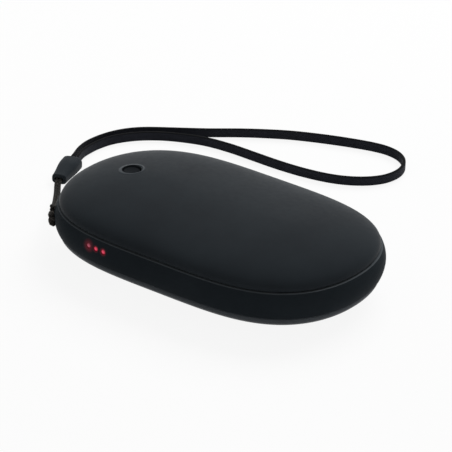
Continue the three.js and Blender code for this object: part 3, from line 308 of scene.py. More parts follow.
def round_section(diameter, sides):
    turn = full_turn(sides)
    return np.stack([np.cos(turn), np.sin(turn)], axis=1) * diameter / 2


def prism(name, section, low, high, axis, middle, matrix=Matrix()):
    """A closed bar of that section along X or Y. The section's two directions are the next axes round."""
    first, second, third = AXES[axis]
    rings = np.zeros((2, len(section), 3))
    rings[:, :, first] = section[:, 0] + middle[0]
    rings[:, :, second] = section[:, 1] + middle[1]
    rings[:, :, third] = [[low], [high]]
    return loft(name, placed(rings, matrix))


def rounded_block(name, low, high, radius, axis, matrix=Matrix()):
    """A block between two corners, rounded round the axis."""
    a, b, c = AXES[axis]
    section = rounded_rectangle(high[a] - low[a], high[b] - low[b], radius)
    middle = ((low[a] + high[a]) / 2, (low[b] + high[b]) / 2)
    return prism(name, section, low[c], high[c], axis, middle, matrix)


def lathe(name, profile, x, y, sides=64):
    """A solid of revolution round a vertical axis. The profile runs from the lowest point up."""
    turn = full_turn(sides)
    rings = [np.stack([x + r * np.cos(turn), y + r * np.sin(turn), np.full(sides, MIDDLE + z)], axis=1)
             for r, z in profile]
    return loft(name, rings)


def post(name, diameter, low, high, x, y, sides=64):
    return lathe(name, [(diameter / 2, low), (diameter / 2, high)], x, y, sides)


def combined(piece, others, operation):
    """The piece with the others cut from it or joined to it, as one mesh. The others are removed."""
    for other in others:
        modifier = piece.modifiers.new("combine", "BOOLEAN")
        modifier.operation = operation
        modifier.object = other
        modifier.solver = "MANIFOLD"
    bpy.context.view_layer.update()
    shown = piece.evaluated_get(bpy.context.evaluated_depsgraph_get())
    mesh = bpy.data.meshes.new_from_object(shown)
    piece.modifiers.clear()
    piece.data = mesh
    for other in others:
        bpy.data.objects.remove(other)
    shade(mesh)
    return piece


def cut(piece, others):
    return combined(piece, others, "DIFFERENCE")


def joined(piece, others):
    return combined(piece, others, "UNION")


# Places on the band, in millimetres, as in the solids

SOCKET_SPACING = 1.8
SOCKET_MOUTH_X = -46.37
OUT_WIDTH = 13.1
OUT_HEIGHT = 5.7
OUT_DEPTH = 11.6
OUT_ROUNDING = 0.6
IN_WIDTH = 8.94
IN_HEIGHT = 3.26
IN_DEPTH = 7.35
IN_ROUNDING = IN_HEIGHT / 2 - 0.08
OUT_Y = (IN_WIDTH + SOCKET_SPACING) / 2
IN_Y = -(OUT_WIDTH + SOCKET_SPACING) / 2
LANYARD_SOCKET_ROOM = 8.2
LANYARD_Y = IN_Y - IN_WIDTH / 2 - LANYARD_SOCKET_ROOM
LANYARD_X = -outline_x(0, LANYARD_Y)
LANYARD_FRAME = Matrix.Translation((0, 0, MIDDLE)) @ outline_frame(LANYARD_X, LANYARD_Y)
BRIDGE_THICKNESS = 1.9
BRIDGE_WIDTH = 1.8

# Strap, in millimetres. The routes and the solids' sizes are as in the part's source
STRING_ROUTE = [
    (-45.6, -18.7, 12.6), (-47.2, -16.4, 10.9), (-48.9, -14.2, 9.4), (-50.9, -11.7, 7.9), (-53, -9, 6.4),
    (-55.3, -6.2, 5), (-57.4, -3.5, 3.8), (-59.4, -0.9, 2.8), (-61.4, 1.7, 2), (-63.3, 4.1, 1.4),
    (-65, 6.3, 1), (-66.5, 8.2, 0.8), (-67.8, 9.8, 0.85), (-68.8, 11.1, 1.15), (-69.5, 12.2, 1.45),
    (-70.05, 13.4, 1.6), (-70.6, 15.1, 1.6),
]
WEBBING_ROUTE = [
    (-73.8, 22, 2.15), (-74.5, 24, 2.15), (-75.8, 27.3, 2), (-77.2, 30.5, 1.85), (-78.2, 33.7, 1.7),
    (-78.7, 37, 1.58), (-78.4, 41.7, 1.51), (-77.3, 46.1, 1.5), (-75.6, 49.8, 1.5), (-73.4, 52.9, 1.5),
    (-70.8, 55.5, 1.5), (-67.8, 57.8, 1.5), (-61.9, 62, 1.5), (-55.9, 66.3, 1.5), (-47.3, 73.1, 1.5),
    (-41.2, 77.3, 1.5), (-34.9, 81.1, 1.5), (-28.1, 84.3, 1.5), (-21.1, 87.1, 1.5), (-13.9, 89.5, 1.5),
    (-10, 90.5, 1.5), (-5.9, 91, 1.5), (-1.8, 90.4, 1.5), (1.4, 88.8, 1.5), (3.8, 86.4, 1.5),
    (5.4, 83.3, 1.5), (6, 79.8, 1.5), (5.2, 75.3, 1.5), (3.2, 71.9, 1.5), (0.4, 69.1, 1.5),
    (-3.8, 66.4, 1.5), (-9.1, 64.4, 1.5), (-16.9, 62.9, 1.5), (-25.4, 62.3, 1.5), (-34.4, 62.3, 1.5),
    (-43.5, 62.3, 1.5), (-52, 61.3, 1.5), (-59.3, 58.8, 1.5), (-65.8, 55.3, 1.5), (-71.2, 50.5, 1.5),
    (-75, 44.4, 1.5), (-76.3, 38.8, 1.52), (-76.3, 35, 1.6), (-75.8, 31.5, 1.8), (-74.8, 28.6, 2),
    (-73.6, 26, 2.15), (-72.7, 24.2, 2.15), (-72, 22.4, 2.15),
]
STRING_DIAMETER = 0.9
STRING_PITCH = 1.2
WEBBING_WIDTH = 2.9
WEBBING_THICKNESS = 1

# Braid of the string, and its two strands, which are pressed together
BRAID_SIDES = 16
BRAID_STARTS = 3
BRAID_RELIEF = 0.11
BRAID_SMOOTH_ANGLE = 60
BRAID_STEP = 0.14
BRAID_LAY = 1.5
BRAID_TIP = 0.06
STRAND_DIAMETER = 1.05
STRAND_PITCH = 1.0
STRAND_TURN_POWER = 2.2
KNOT_ENTRY = (-44.7, -19.4, 12.4)


def store_weave(piece, along, place, height):
    """Keeps for each point its way along, its place round or across, and its height in the weave."""
    values = np.empty((len(piece.data.vertices), 3), np.float32)
    for column, value in enumerate((along, place, height)):
        values[:, column] = value
    attribute = piece.data.attributes.new("weave", "FLOAT_VECTOR", "POINT")
    attribute.data.foreach_set("vector", values.ravel())


def braided_tube(name, line, diameter, lay=BRAID_LAY):
    """A tube along the line, with the diamond relief of a braid, and round ends."""
    along = distances(line)
    turn = full_turn(BRAID_SIDES)
    twist = 2 * math.pi * along[:, None] / lay
    height = np.maximum(np.cos(BRAID_STARTS * turn + twist), np.cos(BRAID_STARTS * turn - twist))
    radius = diameter / 2 * (1 - BRAID_RELIEF + BRAID_RELIEF * height)
    end = np.minimum(along, along[-1] - along)[:, None] / (diameter / 2)
    radius = radius * np.sqrt(1 - (1 - np.clip(end, BRAID_TIP, 1)) ** 2)
    tube = loft(name, tube_rings(line, radius, BRAID_SIDES), smooth_angle=BRAID_SMOOTH_ANGLE)
    place = np.tile(turn / (2 * math.pi), len(line))
    store_weave(tube, np.repeat(along, BRAID_SIDES), place, height.ravel())
    return tube


def make_strand(name, side):
    """A strand lies beside the other on the table. At the knot, one hangs over the other."""
    places = np.array([KNOT_ENTRY] + STRING_ROUTE, float)
    lowest = places[:, 2].min()
    highest = STRING_ROUTE[0][2]
    route = []
    for number, place in enumerate(places):
        ahead = places[min(number + 1, len(places) - 1)] - places[max(number - 1, 0)]
        ahead /= np.linalg.norm(ahead)
        beside = np.array([ahead[1], -ahead[0], 0])
        beside /= np.linalg.norm(beside)
        share = min((place[2] - lowest) / (highest - lowest), 1)
        turn = math.pi / 2 * share**STRAND_TURN_POWER
        shift = beside * math.cos(turn) + np.cross(beside, ahead) * math.sin(turn)
        route.append(place + side * STRAND_PITCH / 2 * shift)
    line = smooth_line(route, BRAID_STEP)
    return braided_tube(name, line, STRAND_DIAMETER), line


# String behind the bridge of the lanyard point
BIGHT_HALF = 1.75
BIGHT_DEPTH = BRIDGE_THICKNESS + 2 * SEAT_GAP + STRING_DIAMETER / 2
BIGHT_END = SEAT_GAP + 0.2
BIGHT_LAY = 2.1


def make_bight():
    bend = BIGHT_HALF - STRING_DIAMETER / 2
    left = [(-BIGHT_HALF, BIGHT_END, 0)]
    left += [(across - BIGHT_HALF, back - BIGHT_DEPTH, 0) for across, back in quarter_arc(bend, 7)]
    right = [(-x, y, z) for x, y, z in left[::-1]]
    line = smooth_line(placed(left + right, LANYARD_FRAME), BRAID_STEP)
    return braided_tube("string_bight_fine", line, STRING_DIAMETER, BIGHT_LAY)


# Knot: a loop wound twice round, over a full core. A low height in the weave keeps the core dark, as painted
# shade between the windings
KNOT_SIZE = np.array([4, 1.9, 4.7])
KNOT_DROP = 0.9
KNOT_SINK = 0.1
KNOT_TURNS = 2
KNOT_WAVES = 5
KNOT_SWAY = 0.3
KNOT_PLACES = 61
KNOT_STEP = 0.15
CORE_INSET = (0.2, 0.1, 0.2)
CORE_POWER = 3
CORE_END = 0.01
CORE_LEVELS = 17
CORE_SIDES = 32
CORE_SHADE_HEIGHT = 0.2
ROOT_SHIFTS = [(-0.1, -0.4, -0.1), (0, 0.1, 0.3), (0.1, 0.2, 0.95), (0.3, 0.3, 1.6)]


def beside_band(points):
    """Points in the frame of the lanyard point, drawn in as the band is, in the frame of the warmer."""
    points[..., 1] -= bulge_inset(points[..., 2])
    return placed(points, LANYARD_FRAME)


def knot_winding():
    turn = np.linspace(0, 2 * math.pi, KNOT_PLACES)
    wide = 1 - KNOT_SWAY * np.cos(KNOT_WAVES * turn)
    loop = np.stack([np.cos(KNOT_TURNS * turn) * wide, np.sin(KNOT_WAVES * turn),
                     np.sin(KNOT_TURNS * turn) * wide], axis=1)
    room = (KNOT_SIZE - STRAND_DIAMETER) / 2
    loop = loop / np.abs(loop).max(axis=0) * room + (0, KNOT_SIZE[1] / 2 - KNOT_SINK, -KNOT_DROP)
    return braided_tube("knot", smooth_line(beside_band(loop), KNOT_STEP), STRAND_DIAMETER)


def knot_core():
    half = KNOT_SIZE / 2 - CORE_INSET
    middle = (0, KNOT_SIZE[1] / 2 - 2 * KNOT_SINK, -KNOT_DROP)
    around = full_turn(CORE_SIDES)
    rings = []
    for level in np.linspace(-1, 1, CORE_LEVELS):
        reach = max(1 - abs(level) ** CORE_POWER, CORE_END) ** (1 / CORE_POWER)
        ring = [reach * np.cos(around), reach * np.sin(around), np.full(CORE_SIDES, level)]
        rings.append(np.stack(ring, axis=1) * half + middle)
    core = loft("knot_core", beside_band(np.array(rings)))
    store_weave(core, 0, 0, CORE_SHADE_HEIGHT)
    return core


def string_root():
    """Where the string leaves its hole in the band, on the strap's side of the knot."""
    places = np.array(ROOT_SHIFTS) + (BIGHT_HALF, 0, 0)
    return braided_tube("root", smooth_line(placed(places, LANYARD_FRAME), BRAID_STEP), STRAND_DIAMETER)


def make_knot():
    return joined(knot_winding(), [knot_core(), string_root()])


# Webbing: its section, the ribs of its weave, and how it leans along its way
WEBBING_STEP = 0.2
WEBBING_ROUNDING = 0.32
WEBBING_CORNER_STEPS = 4
WEBBING_FACE_STEPS = 9
WEBBING_SMOOTH_ANGLE = 70
WEBBING_PICK = 0.62
WEBBING_COLUMNS = 6
WEBBING_RELIEF = 0.1
SELVEDGE = 0.3
SELVEDGE_FLATNESS = 0.6
SELVEDGE_SWELL = 0.06
SWELL_MIDDLE = 0.6
LEANS = ((0.05, 23, 0), (0.03, 9, 1))


def webbing_section():
    """Points round the webbing's section, with its width first."""
    corners = rounded_rectangle(WEBBING_WIDTH, WEBBING_THICKNESS, WEBBING_ROUNDING, WEBBING_CORNER_STEPS)
    corners = corners.reshape(4, -1, 2)
    shares = np.linspace(0, 1, WEBBING_FACE_STEPS + 1)[1:-1, None]
    runs = []
    for number, corner in enumerate(corners):
        runs.append(corner)
        if number % 2 == 0:
            runs.append(corner[-1] + (corners[number + 1][0] - corner[-1]) * shares)
    return np.concatenate(runs)


def make_webbing():
    """The strap. Each pick lies across its face, and the edge bulges where a pick turns back."""
    line = smooth_line(WEBBING_ROUTE, WEBBING_STEP)
    across, through = webbing_section().T
    along = distances(line)
    out = np.cross(directions(line), (0, 0, 1))
    out /= np.linalg.norm(out, axis=1)[:, None]
    pick_turn = math.pi * along[:, None] / WEBBING_PICK
    rib = np.abs(np.sin(pick_turn))
    column = np.floor((across / WEBBING_WIDTH + 0.5) * WEBBING_COLUMNS).clip(0, WEBBING_COLUMNS - 1)
    over = np.where(column % 2 == 0, rib, np.abs(np.cos(pick_turn)))
    edge = np.clip((np.abs(across) - WEBBING_WIDTH / 2 + SELVEDGE) / SELVEDGE, 0, 1)
    thick = through + np.sign(through) * WEBBING_RELIEF * (over - 0.5) * (1 - SELVEDGE_FLATNESS * edge)
    wide = across + np.sign(across) * edge * SELVEDGE_SWELL * (rib - SWELL_MIDDLE)
    lean = sum(share * np.sin(along / length + start) for share, length, start in LEANS)
    sideways = thick + wide * lean[:, None]
    rings = line[:, None] + sideways[:, :, None] * out[:, None] + wide[:, :, None] * np.array([0, 0, 1])
    strap = loft("webbing", rings, smooth_angle=WEBBING_SMOOTH_ANGLE)
    store_weave(strap, np.repeat(along, len(across)), np.tile(across, len(line)), over.ravel())
    return strap, line


# Clasp: a tapered moulding, rounded at its narrow end, with a mouth for the webbing
CLASP_PLACE = (-70, 13, 0.05)
CLASP_TURN = 18.3
CLASP_FRAME = Matrix.Translation(CLASP_PLACE) @ Matrix.Rotation(math.radians(CLASP_TURN), 4, "Z")
CLASP_LENGTH = 11.4
CLASP_END = (4.6, 3.2)
CLASP_MOUTH = (6.2, 4.25)
CLASP_WALL = 0.45
CLASP_MOUTH_DEPTH = 2.4
CLASP_MOUTH_ROUNDING = 0.35
CLASP_BORE_DEPTH = 2.6
CLASP_SIDES = 72
CLASP_POWER = 3.2
CLASP_TAIL = (0, 0.06, 0.16, 0.3, 0.5)
CLASP_RUN = (0.8, 0.9, 26)
CLASP_LIP = (0.5, 0.25, 0.1, 0.02, 0)
TAIL_ROUNDING = 0.5
LIP_ROUNDING = 0.28
CUT_OVERRUN = 1


def clasp_ring(width, height, along):
    turn = -full_turn(CLASP_SIDES)
    across = width / 2 * signed_power(np.cos(turn), 2 / CLASP_POWER)
    up = height / 2 + height / 2 * signed_power(np.sin(turn), 2 / CLASP_POWER)
    return np.stack([across, np.full(CLASP_SIDES, along), up], axis=1)


def clasp_rings():
    start, end, steps = CLASP_RUN
    rings = []
    for along in (*CLASP_TAIL, *np.linspace(start, CLASP_LENGTH - end, steps),
                  *(CLASP_LENGTH - np.array(CLASP_LIP))):
        share = min(max(along / (CLASP_LENGTH - CLASP_MOUTH_DEPTH), 0), 1)
        share = share * share * (3 - 2 * share)
        width, height = np.array(CLASP_END) + (np.array(CLASP_MOUTH) - CLASP_END) * share
        tail = max(0, 1 - along / CLASP_TAIL[-1])
        lip = max(0, 1 - (CLASP_LENGTH - along) / CLASP_LIP[0])
        tight = TAIL_ROUNDING * (1 - math.sqrt(1 - tail**2)) + LIP_ROUNDING * (1 - math.sqrt(1 - lip**2))
        ring = clasp_ring(width - 2 * tight, height - 2 * tight, along)
        ring[:, 2] += tight
        rings.append(ring)
    return rings


def make_clasp():
    body = loft("clasp", placed(clasp_rings(), CLASP_FRAME))
    room = CLASP_MOUTH[0] / 2 - 2 * CLASP_WALL
    mouth_low = (-room, CLASP_LENGTH - CLASP_MOUTH_DEPTH, CLASP_WALL)
    mouth_high = (room, CLASP_LENGTH + CUT_OVERRUN, CLASP_MOUTH[1] - CLASP_WALL)
    mouth = rounded_block("cut_mouth", mouth_low, mouth_high, CLASP_MOUTH_ROUNDING, "Y", CLASP_FRAME)
    high = STRING_DIAMETER / 2 + SEAT_GAP / 2
    half = STRING_PITCH / 2 + STRING_DIAMETER / 2 + SEAT_GAP
    middle = CLASP_END[1] / 2
    bore = rounded_block("cut_bore", (-half, -CUT_OVERRUN, middle - high),
                         (half, CLASP_BORE_DEPTH, middle + high), high * 0.9, "Y", CLASP_FRAME)
    return cut(body, [mouth, bore])


def stand_for(piece, name, body="housing"):
    """The piece rides on the body in place of the node, which is hidden."""
    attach(piece, body)
    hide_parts(name)
    return piece


# The strap's pieces, first its cords
webbing, webbing_line = make_webbing()
stand_for(webbing, "wrist_strap")
strand_upper, upper_line = make_strand("string_upper", 1)
strand_lower, lower_line = make_strand("string_lower", -1)
stand_for(strand_upper, "string_strand_upper")
stand_for(strand_lower, "string_strand_lower")
bight = stand_for(make_bight(), "string_bight")
knot = stand_for(make_knot(), "string_knot")
clasp = stand_for(make_clasp(), "strap_clasp")


# Covers

# Button and its hole, in millimetres, as in the solids
BUTTON_X = -31.37
BUTTON_DIAMETER = 5
BUTTON_GAP = 0.35
BUTTON_RECESS = 0.5
FLANGE_WIDTH = 0.85
FLANGE_THICKNESS = 0.8
STEM_DIAMETER = 2.4
COLLAR_WALL = 1
COLLAR_DEPTH = 2.2
HOLE_DIAMETER = BUTTON_DIAMETER + 2 * BUTTON_GAP
POCKET_DIAMETER = HOLE_DIAMETER + 2 * FLANGE_WIDTH
COLLAR_DIAMETER = POCKET_DIAMETER + 2 * COLLAR_WALL

# Small forms of a cover: its rim, which is rounded and hardly drawn in, its lip and its notch
RIM_DROP = 0.06
RIM_ROUNDING = 0.4
RIM_STEP = 0.03
RIM_FADE = 2.4
DOME_START = 1.1 * RIM_ROUNDING
SOFT_BLEND = 0.25
LIP_CHAMFER = 0.15
TOP_SHARE = 0.01
INNER_TOP_SHARE = 0.06
INNER_LEVELS = 14
OUTER_LEVELS = 44
NOTCH_REACH = 1.5
NOTCH_STOP = 0.05
NOTCH_ROUNDING = 0.2

# Low raised lip round the button's hole
HOLE_CHAMFER = 0.12
BEAD_WIDTH = 0.95
BEAD_HEIGHT = 0.16
BEAD_DEPTH = 0.5
BEAD_POWER = 2.2
BEAD_SINK = 0.03
BEAD_OVERLAP = 0.1
BEAD_SIDES = 96


def soft_level(share):
    """As dome_level, without the crease along the middle of the dome."""
    eased = (share**2 + SOFT_BLEND**2) ** (DOME_POWER / 2) - SOFT_BLEND**DOME_POWER
    eased = eased / ((1 + SOFT_BLEND**2) ** (DOME_POWER / 2) - SOFT_BLEND**DOME_POWER)
    return (1 - eased) ** (1 / RIM_POWER)


def dome_rings(inset, rise, last_share, levels, level, first_rise=0, step=0):
    """Rings up a dome. Its rim is drawn in by the step, which fades out a little way up."""
    flattest = math.asin(last_share ** (DOME_POWER / 2))
    rings = []
    for slope in np.linspace(math.pi / 2, flattest, levels + 1):
        share = min(math.sin(slope) ** (2 / DOME_POWER), 1)
        drawn_in = (HALF_WIDTH - inset) * (1 - share)
        above = rise * level(share) - first_rise
        if above > 0:
            extra = step * max(1 - above / RIM_FADE, 0) ** 2
            rings.append(inset_ring(inset + drawn_in + extra, COVER_BASE + first_rise + above))
    return rings


def height_at(x, y):
    """Height of the upper cover's surface over the middle of the band."""
    inside, outside = 0.0, 1.0
    for _ in range(40):
        share = (inside + outside) / 2
        half_width = (HALF_WIDTH - BAND_BULGE) * share
        half_length = HALF_LENGTH - BAND_BULGE - (HALF_WIDTH - BAND_BULGE) * (1 - share)
        reach = (abs(x) / half_length) ** END_POWER + (abs(y) / half_width) ** SIDE_POWER
        if reach > 1:
            inside = share
        else:
            outside = share
    return COVER_BASE + COVER_RISE * soft_level(outside)


def cover_rings(last_share, level):
    """One moulded shell: inner dome, lip, the seam's rounded rim, and the outer dome."""
    rim = COVER_BASE - RIM_DROP
    tip = COVER_BASE - LIP_DEPTH
    inner_share = max(last_share, INNER_TOP_SHARE)
    rings = dome_rings(BORE_INSET, COVER_RISE - COVER_WALL, inner_share, INNER_LEVELS, level)[::-1]
    for inset, z in ((BORE_INSET, tip + LIP_CHAMFER), (BORE_INSET - LIP_CHAMFER, tip),
                     (LIP_INSET + LIP_CHAMFER, tip), (LIP_INSET, tip + LIP_CHAMFER), (LIP_INSET, rim)):
        rings.append(inset_ring(inset, z))
    for up, inset in quarter_arc(RIM_ROUNDING, 6):
        rings.append(inset_ring(BAND_BULGE + RIM_STEP + inset, rim + up))
    return rings + dome_rings(BAND_BULGE, COVER_RISE, last_share, OUTER_LEVELS, level, DOME_START, RIM_STEP)


def raised(rings, side=1):
    """Rings over (1) or under (-1) the middle of the band, at their real height."""
    rings = np.array(rings, float)
    rings[:, :, 2] = MIDDLE + side * rings[:, :, 2]
    return rings


def lip_notch(side):
    """Room for the sockets in a cover's lip."""
    ends = (COVER_BASE - LIP_DEPTH - NOTCH_REACH, COVER_BASE - NOTCH_STOP)
    low_z, high_z = sorted(MIDDLE + side * z for z in ends)
    low = (-HALF_LENGTH, IN_Y - IN_WIDTH / 2 - 2 * SEAT_GAP, low_z)
    high = (-HALF_LENGTH / 2, OUT_Y + OUT_WIDTH / 2 + 2 * SEAT_GAP, high_z)
    return rounded_block("cut_lip", low, high, NOTCH_ROUNDING, "X")


def make_bead():
    """The lip round the button's hole, which follows the dome."""
    inner = HOLE_DIAMETER / 2 - BEAD_OVERLAP
    start = HOLE_DIAMETER / 2 + HOLE_CHAMFER
    profile = [(inner, -BEAD_DEPTH), (inner, BEAD_HEIGHT)]
    for share in np.linspace(0, 1, 9)[1:]:
        height = BEAD_HEIGHT * (1 - share**BEAD_POWER) - BEAD_SINK * share
        profile.append((start + BEAD_WIDTH * share, height))
    profile.append((start + BEAD_WIDTH, -BEAD_DEPTH))
    rings = []
    for radius, above in profile:
        places = round_section(2 * radius, BEAD_SIDES) + (BUTTON_X, 0)
        rings.append([(x, y, MIDDLE + above + height_at(x, y)) for x, y in places])
    return turned_inside_out(loft("bead", rings))


def cover_ceiling():
    """Height of the upper cover's inner side at the edge of the button's collar."""
    return height_at(BUTTON_X - COLLAR_DIAMETER / 2, 0) - COVER_WALL


def make_top_cover():
    cover = loft("cover_upper", raised(cover_rings(TOP_SHARE, soft_level)))
    surface = height_at(BUTTON_X, 0)
    ceiling = cover_ceiling()
    collar_top = ceiling + SEAT_GAP
    joined(cover, [post("collar", COLLAR_DIAMETER, ceiling - COLLAR_DEPTH, collar_top, BUTTON_X, 0)])
    joined(cover, [make_bead()])
    hole = HOLE_DIAMETER / 2
    return cut(cover, [
        post("cut_pocket", POCKET_DIAMETER, COVER_BASE, ceiling, BUTTON_X, 0),
        lathe("cut_hole", [
            (hole, COVER_BASE - CUT_OVERRUN), (hole, surface - HOLE_CHAMFER),
            (hole + HOLE_CHAMFER + CUT_OVERRUN, surface + CUT_OVERRUN),
        ], BUTTON_X, 0, BEAD_SIDES),
        lip_notch(1),
    ])


def make_bottom_cover():
    cover = turned_inside_out(loft("cover_lower", raised(cover_rings(REST_FLAT_SHARE, dome_level), -1)))
    return cut(cover, [lip_notch(-1)])


# Band

# Bosses, lanyard point and lights, as in the solids
BOSS_PLACES = [(-9.0, 22.9), (26.0, 22.9), (-33.87, 19.9)]
BOSS_HALF_HEIGHT = 1.63
BOSS_DIAMETER = 4.6
BOSS_SIDES = 40
BOSS_WEB = 3.6
SCREW_BORE = 2.2
LANYARD_HOLE = (2.4, 2)
LANYARD_SIDE_WALL = 0.9
LANYARD_BACK_WALL = 1.2
LANYARD_ROUNDING = 0.5
LIGHT_X = (-22.6, -19.8, -17.0)
LIGHT_Z = 1.2
LIGHT_DIAMETER = 1.5

# Small forms of the band: its ledges at the seam, its rounded corners, its cuts and their overruns
LEDGE = 0.16
WEB_ROUNDING = 0.05
BLOCK_ROUNDING = 0.3
BLOCK_OVERLAP = 0.5
TUNNEL_OVERLAP = 0.4
HOLE_OVERRUN = 1.5
SCREW_CUT_HALF = 3
LIGHT_CLEARANCE = 0.16
LIGHT_CUT = (3, 7)
WINDOW_START = -HALF_LENGTH - 2
WINDOW_RIM = 0.15
POCKET_END = -40.5
IN_CUT_ROUNDING = 1.5


def band_profile():
    """Insets and heights round the section of the band, outer side first, from the lower edge up."""
    top = BAND_EDGE + RIM_DROP / 2
    ledge = [(bulge_inset(top - down) + inset, top - down) for inset, down in quarter_arc(LEDGE, 8)]
    side = [(bulge_inset(z), z) for z in np.linspace(LEDGE - top, top - LEDGE, 19)[1:-1]]
    fence = BAND_BULGE + FENCE
    shelf = COVER_BASE - LIP_DEPTH - SEAT_GAP
    inner = [(fence, top), (fence, shelf), (BORE_INSET, shelf)]
    lower_ledge = [(inset, -z) for inset, z in ledge[::-1]]
    lower_inner = [(inset, -z) for inset, z in inner[::-1]]
    return lower_ledge + side + ledge + inner + lower_inner


def boss(x, y):
    """A screw boss with the web that ties it to the band."""
    wall = math.copysign(outline_y(BORE_INSET, x) + FENCE / 2, y)
    low = (x - BOSS_WEB / 2, min(y, wall), MIDDLE - BOSS_HALF_HEIGHT)
    high = (x + BOSS_WEB / 2, max(y, wall), MIDDLE + BOSS_HALF_HEIGHT)
    return [
        post("boss", BOSS_DIAMETER, -BOSS_HALF_HEIGHT, BOSS_HALF_HEIGHT, x, y, BOSS_SIDES),
        rounded_block("web", low, high, WEB_ROUNDING, "Y"),
    ]


def lanyard_block():
    """The thick place of the band that the lanyard point is cut from."""
    half = BRIDGE_WIDTH / 2 + LANYARD_HOLE[0] + LANYARD_SIDE_WALL
    back = -(BIGHT_DEPTH + STRING_DIAMETER / 2 + SEAT_GAP + LANYARD_BACK_WALL)
    low = (-half, back, -BOSS_HALF_HEIGHT)
    high = (half, BLOCK_OVERLAP - BORE_INSET, BOSS_HALF_HEIGHT)
    return rounded_block("lanyard_block", low, high, BLOCK_ROUNDING, "Y", LANYARD_FRAME)


def lanyard_cutters():
    width, height = LANYARD_HOLE
    depth = BIGHT_DEPTH + STRING_DIAMETER / 2 + SEAT_GAP
    runs = []
    for side in (-1, 1):
        middle = side * (BRIDGE_WIDTH + width) / 2
        runs.append((middle - width / 2, TUNNEL_OVERLAP - depth, middle + width / 2, HOLE_OVERRUN))
    half = BRIDGE_WIDTH / 2 + width
    runs.append((-half, -depth, half, -BRIDGE_THICKNESS))
    return [rounded_block("cut_lanyard", (left, back, -height / 2), (right, front, height / 2),
                          LANYARD_ROUNDING, "Y", LANYARD_FRAME) for left, back, right, front in runs]


def light_hole(x):
    outer = -outline_y(bulge_inset(LIGHT_Z), x)
    section = round_section(LIGHT_DIAMETER + LIGHT_CLEARANCE, BOSS_SIDES)
    return prism("cut_light", section, outer - LIGHT_CUT[0], outer + LIGHT_CUT[1], "Y", (LIGHT_Z + MIDDLE, x))


def socket_cutters(y, width, height, radius):
    """The pocket that a socket's shell stands in, and the smaller window in front of its mouth."""
    front = SOCKET_MOUTH_X - SEAT_GAP
    cutters = []
    for start, end, grow in ((front, POCKET_END, SEAT_GAP), (WINDOW_START, front + CUT_OVERRUN, -WINDOW_RIM)):
        low = (start, y - width / 2 - grow, MIDDLE - height / 2 - grow)
        high = (end, y + width / 2 + grow, MIDDLE + height / 2 + grow)
        cutters.append(rounded_block("cut_socket", low, high, radius, "X"))
    return cutters


def make_band():
    band = loft("band", raised([inset_ring(inset, z) for inset, z in band_profile()]), closed=True)
    blocks = [lanyard_block()]
    for x, y in BOSS_PLACES:
        blocks += boss(x, y) + boss(x, -y)
    joined(band, blocks)
    cutters = lanyard_cutters()
    for x, y in BOSS_PLACES:
        for side in (-1, 1):
            cutters.append(post("cut_screw", SCREW_BORE, -SCREW_CUT_HALF, SCREW_CUT_HALF, x, side * y, 24))
    cutters += [light_hole(x) for x in LIGHT_X]
    cutters += socket_cutters(OUT_Y, OUT_WIDTH, OUT_HEIGHT, OUT_ROUNDING)
    cutters += socket_cutters(IN_Y, IN_WIDTH, IN_HEIGHT, IN_CUT_ROUNDING)
    return cut(band, cutters)


top_cover = stand_for(make_top_cover(), "top_cover")
bottom_cover = stand_for(make_bottom_cover(), "bottom_cover")
band = stand_for(make_band(), "middle_frame")


# Button, lights and sockets

BUTTON_ROUNDING = 0.35
BUTTON_DISH = 0.12
BUTTON_SIDES = 72
STEM_CHAMFER = 0.15
FLANGE_GAP = 0.15
LIGHT_BEND = 1
LIGHT_SET_BACK = 0.05
LIGHT_DOME = 0.3
LIGHT_STRAIGHT = 1.2
LIGHT_SIDES = 32
SHEET = 0.3
SHELL_LIP = [(0, 0.3), (0.04, 0.08), (0.15, 0), (SHEET - 0.04, 0.08), (SHEET, 0.3)]

# How much of each light's radius is lit, and how much of the dim colours it has
LIGHT_CORE = (0.95, 1.1, 1.0)
LIGHT_DIM = (1, 0, 0.15)


def make_button():
    """Cap with a rounded edge and a shallow dish, flange and stem, in one moulding."""
    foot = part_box("power_button")[0].z / MM - MIDDLE
    surface = height_at(BUTTON_X, 0) - BUTTON_RECESS
    flange_top = cover_ceiling() - FLANGE_GAP
    flange_foot = flange_top - FLANGE_THICKNESS
    radius = BUTTON_DIAMETER / 2
    stem = STEM_DIAMETER / 2
    profile = [
        (stem - STEM_CHAMFER, foot), (stem, foot + STEM_CHAMFER), (stem, flange_foot),
        (radius + FLANGE_WIDTH, flange_foot), (radius + FLANGE_WIDTH, flange_top),
        (radius, flange_top), (radius, surface - BUTTON_ROUNDING),
    ]
    profile += [(radius - inset, surface - down) for inset, down in quarter_arc(BUTTON_ROUNDING, 7)[1:]]
    for share in (0.75, 0.5, 0.25, 0.04):
        profile.append((share * (radius - BUTTON_ROUNDING), surface - BUTTON_DISH * (1 - share**2)))
    return lathe("button_cap", profile, BUTTON_X, 0, BUTTON_SIDES)


